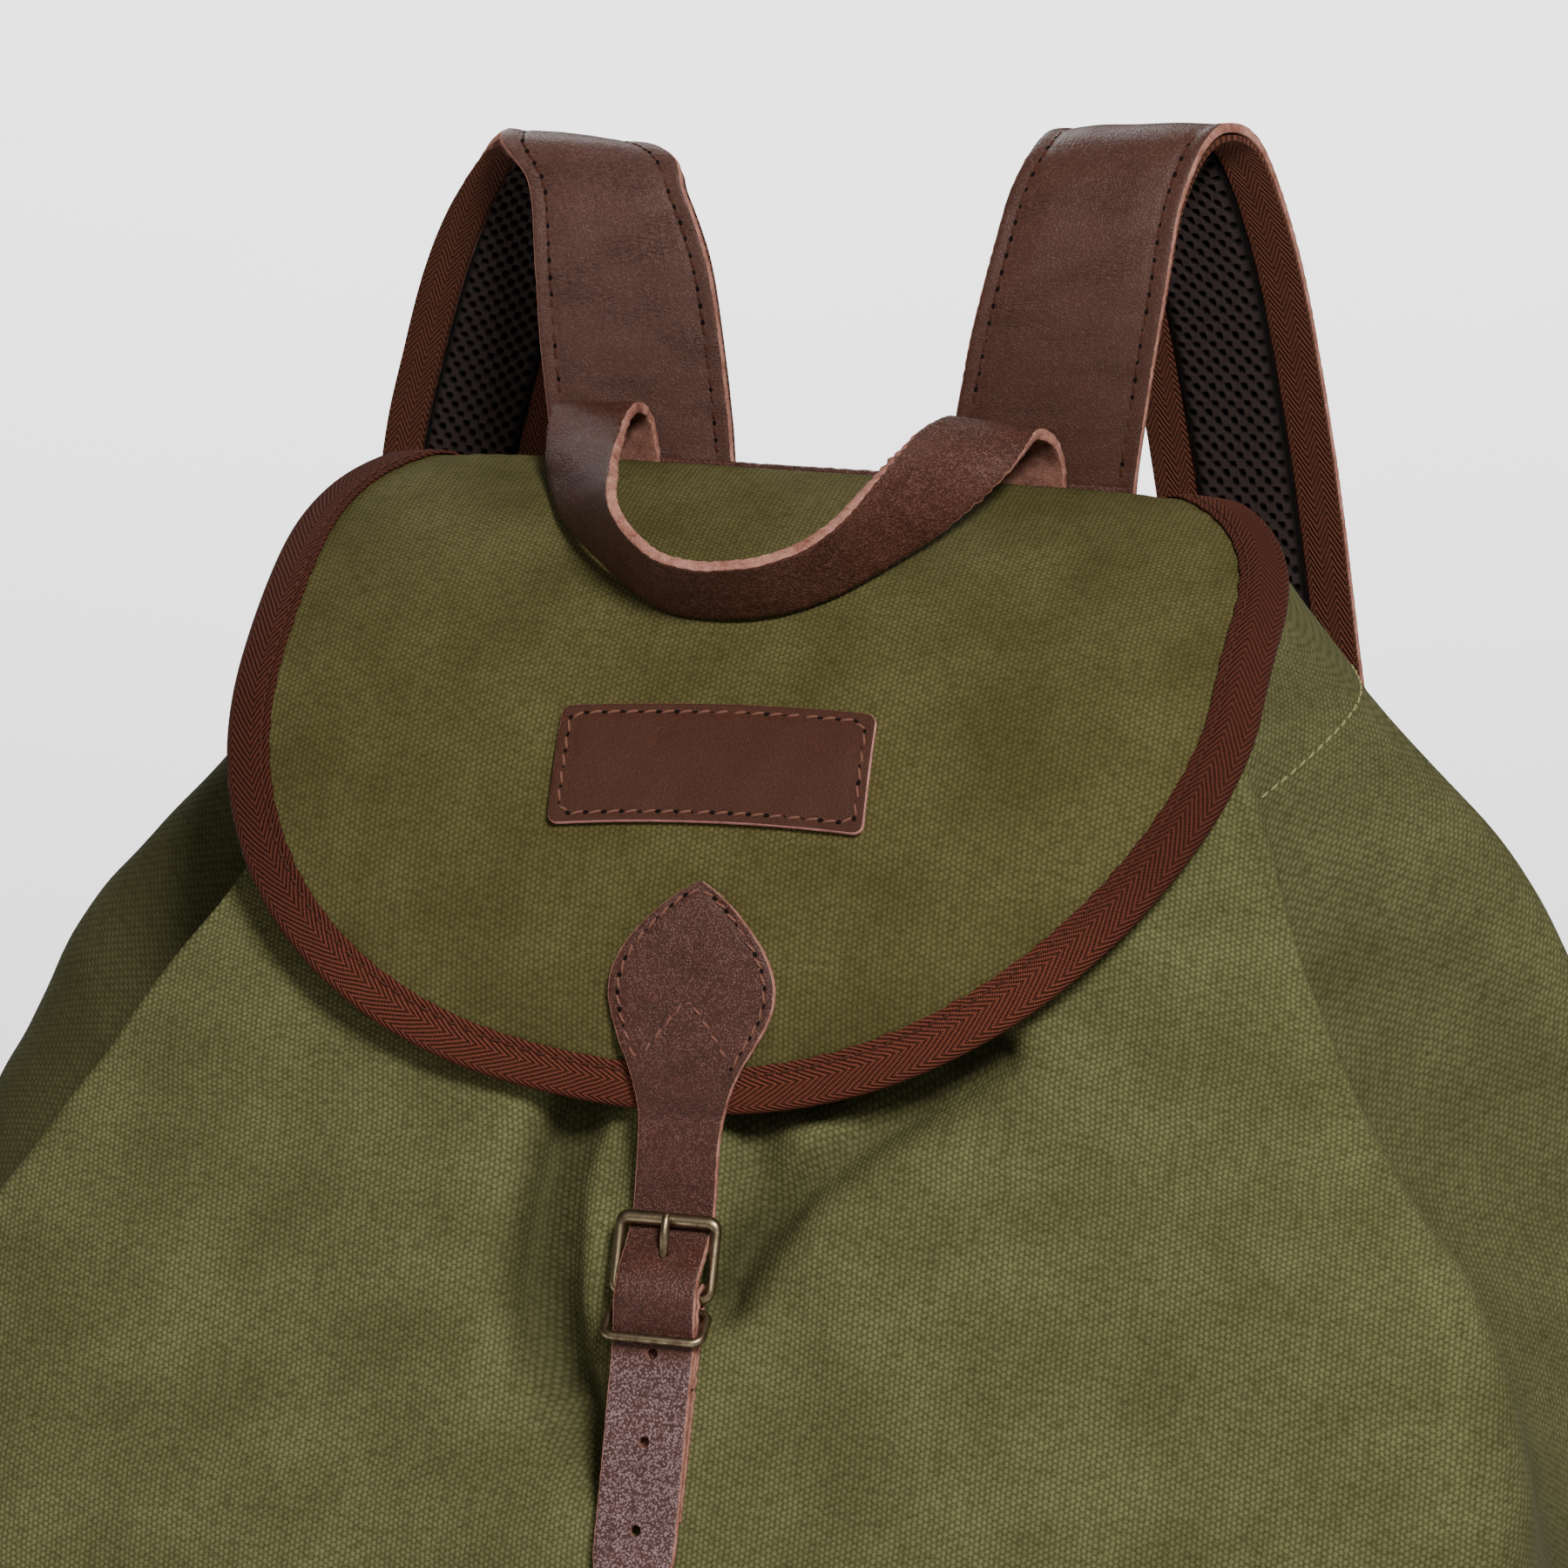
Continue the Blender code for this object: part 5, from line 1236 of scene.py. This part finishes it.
def make_sack():
    plain = sack_grid()
    up_run = lengths(plain)
    outer = plain + sack_relief(plain, up_run)[..., None] * grid_normals(plain)
    outer[..., 2] = np.maximum(outer[..., 2], 0.0)
    normals = grid_normals(outer)
    inner = outer - CANVAS_WALL * normals
    inner[..., 2] = np.maximum(inner[..., 2], CANVAS_WALL)
    inner[-1, :, 2] = outer[-1, :, 2]
    shares = np.array((0.03, 0.3, 0.6, 0.85))[:, None, None]
    base, floor = outer[0] * shares, inner[0] * shares[::-1]
    floor[..., 2] = CANVAS_WALL
    across = lengths(wrapped(plain).transpose(1, 0, 2)).T
    across -= across[:, np.argmin(np.abs(COLUMN_PLACES - FRONT_COLUMN))][:, None]
    # Painted shade, darker on the gussets and in the front's cloth folds, goes in the third channel
    on_front = np.abs(COLUMN_PLACES - FRONT_COLUMN) < 1.6
    folded = fold_depth(plain[..., 0], plain[..., 2], CLOTH_FOLDS) * on_front
    shade = np.interp(np.append(COLUMN_PLACES, len(SPAN_STEPS)), GUSSET_COLUMNS, GUSSET_PAINTED_SHADE)
    shade = np.minimum(shade + 0.05 * np.maximum(wrapped(folded), 0.0), 0.6)
    wall = np.stack((across, wrapped(up_run), shade), axis=-1)
    flat = np.concatenate((wrapped(base), wall, wall[::-1], wrapped(floor) * (1.0, 1.0, 0.0)))
    grid = np.concatenate((base, outer, inner[::-1], floor))
    keep(grid_piece("canvas_sack", grid, flat, [CANVAS], sharp=70.0), "canvas", "main_body")

    seam = up_run[-1] - HEM_SEAM
    beside = (*np.nonzero(COLUMN_PLACES > 9.13)[0], *np.nonzero(COLUMN_PLACES < 4.9)[0])
    path, ups = (np.array([table_at(seam[k], up_run[:, k], table[:, k]) for k in beside])
                 for table in (outer, normals))
    sewing = stitch_row("hem_stitching", path, ups, THREAD_GREEN, pitch=3.4, radius=0.34, slant=0.3, sink=0.0,
                        holes=False)
    keep(sewing, "canvas")


# Floor and lights

FLOOR_HALF_SIZE, WORLD_LIGHT = 12.0, 0.08
# Disks of light: where each is, the point that it faces, its size in metres, its power and what it lights
LIGHTS = (
    ("key", (1.05, -1.5, 2.0), (0.0, 0.0, 0.28), 0.6, 92.0, "bag"),
    ("back", (-1.2, 1.9, 1.75), (0.0, 0.0, 0.35), 1.3, 32.0, "bag"),
    ("back_right", (0.9, 1.6, 1.9), (0.0, 0.0, 0.4), 0.8, 12.0, "bag"),
    ("front", (0.1, -1.95, 1.4), (0.0, 0.0, 0.25), 1.2, 6.0, "bag"),
    ("floor_light", (-0.6, 2.7, 3.0), (-0.6, 2.7, 0.0), 4.0, 550.0, "floor"),
)


def make_stage():
    finish = Finish("floor_pale", 0.9, Specular_IOR_Level=0.1)
    tone = finish.noise(finish.place(), 300.0, 1.0)
    finish.done(finish.blend(tone, (0.7, 0.7, 0.7, 1.0), (0.73, 0.73, 0.73, 1.0)))
    mesh = bpy.data.meshes.new("floor")
    corners = np.array(((-1, -1, 0), (1, -1, 0), (1, 1, 0), (-1, 1, 0))) * FLOOR_HALF_SIZE
    mesh.from_pydata(corners.tolist(), [], [(0, 1, 2, 3)])
    mesh.materials.append(finish.material)
    lit = {"bag": bpy.data.collections.new("bag_pieces"), "floor": bpy.data.collections.new("floor_only")}
    for thing in bpy.context.scene.objects:
        if thing.type == "MESH":
            lit["bag"].objects.link(thing)
    floor = add_object("floor", mesh)
    lit["floor"].objects.link(floor)
    world = bpy.data.worlds.new("soft_room")
    world.use_nodes = True
    backdrop = world.node_tree.nodes["Background"]
    backdrop.inputs["Color"].default_value = (1.0, 1.0, 1.0, 1.0)
    backdrop.inputs["Strength"].default_value = WORLD_LIGHT
    bpy.context.scene.world = world
    for name, place, aim, size, power, target in LIGHTS:
        data = bpy.data.lights.new(name, "AREA")
        data.shape = "DISK"
        data.size = size
        data.energy = power
        light = add_object(name, data)
        light.location = place
        light.rotation_mode = "QUATERNION"
        light.rotation_quaternion = (Vector(place) - Vector(aim)).to_track_quat("Z", "Y")
        light.light_linking.receiver_collection = lit[target]


make_sack()
make_flap()
make_binding()
make_patch()
make_closure_strap()
make_buckle()
make_handle()
make_yoke()
make_shoulder_strap("left", -1.0, 70)
make_shoulder_strap("right", 1.0, 80)
make_stage()
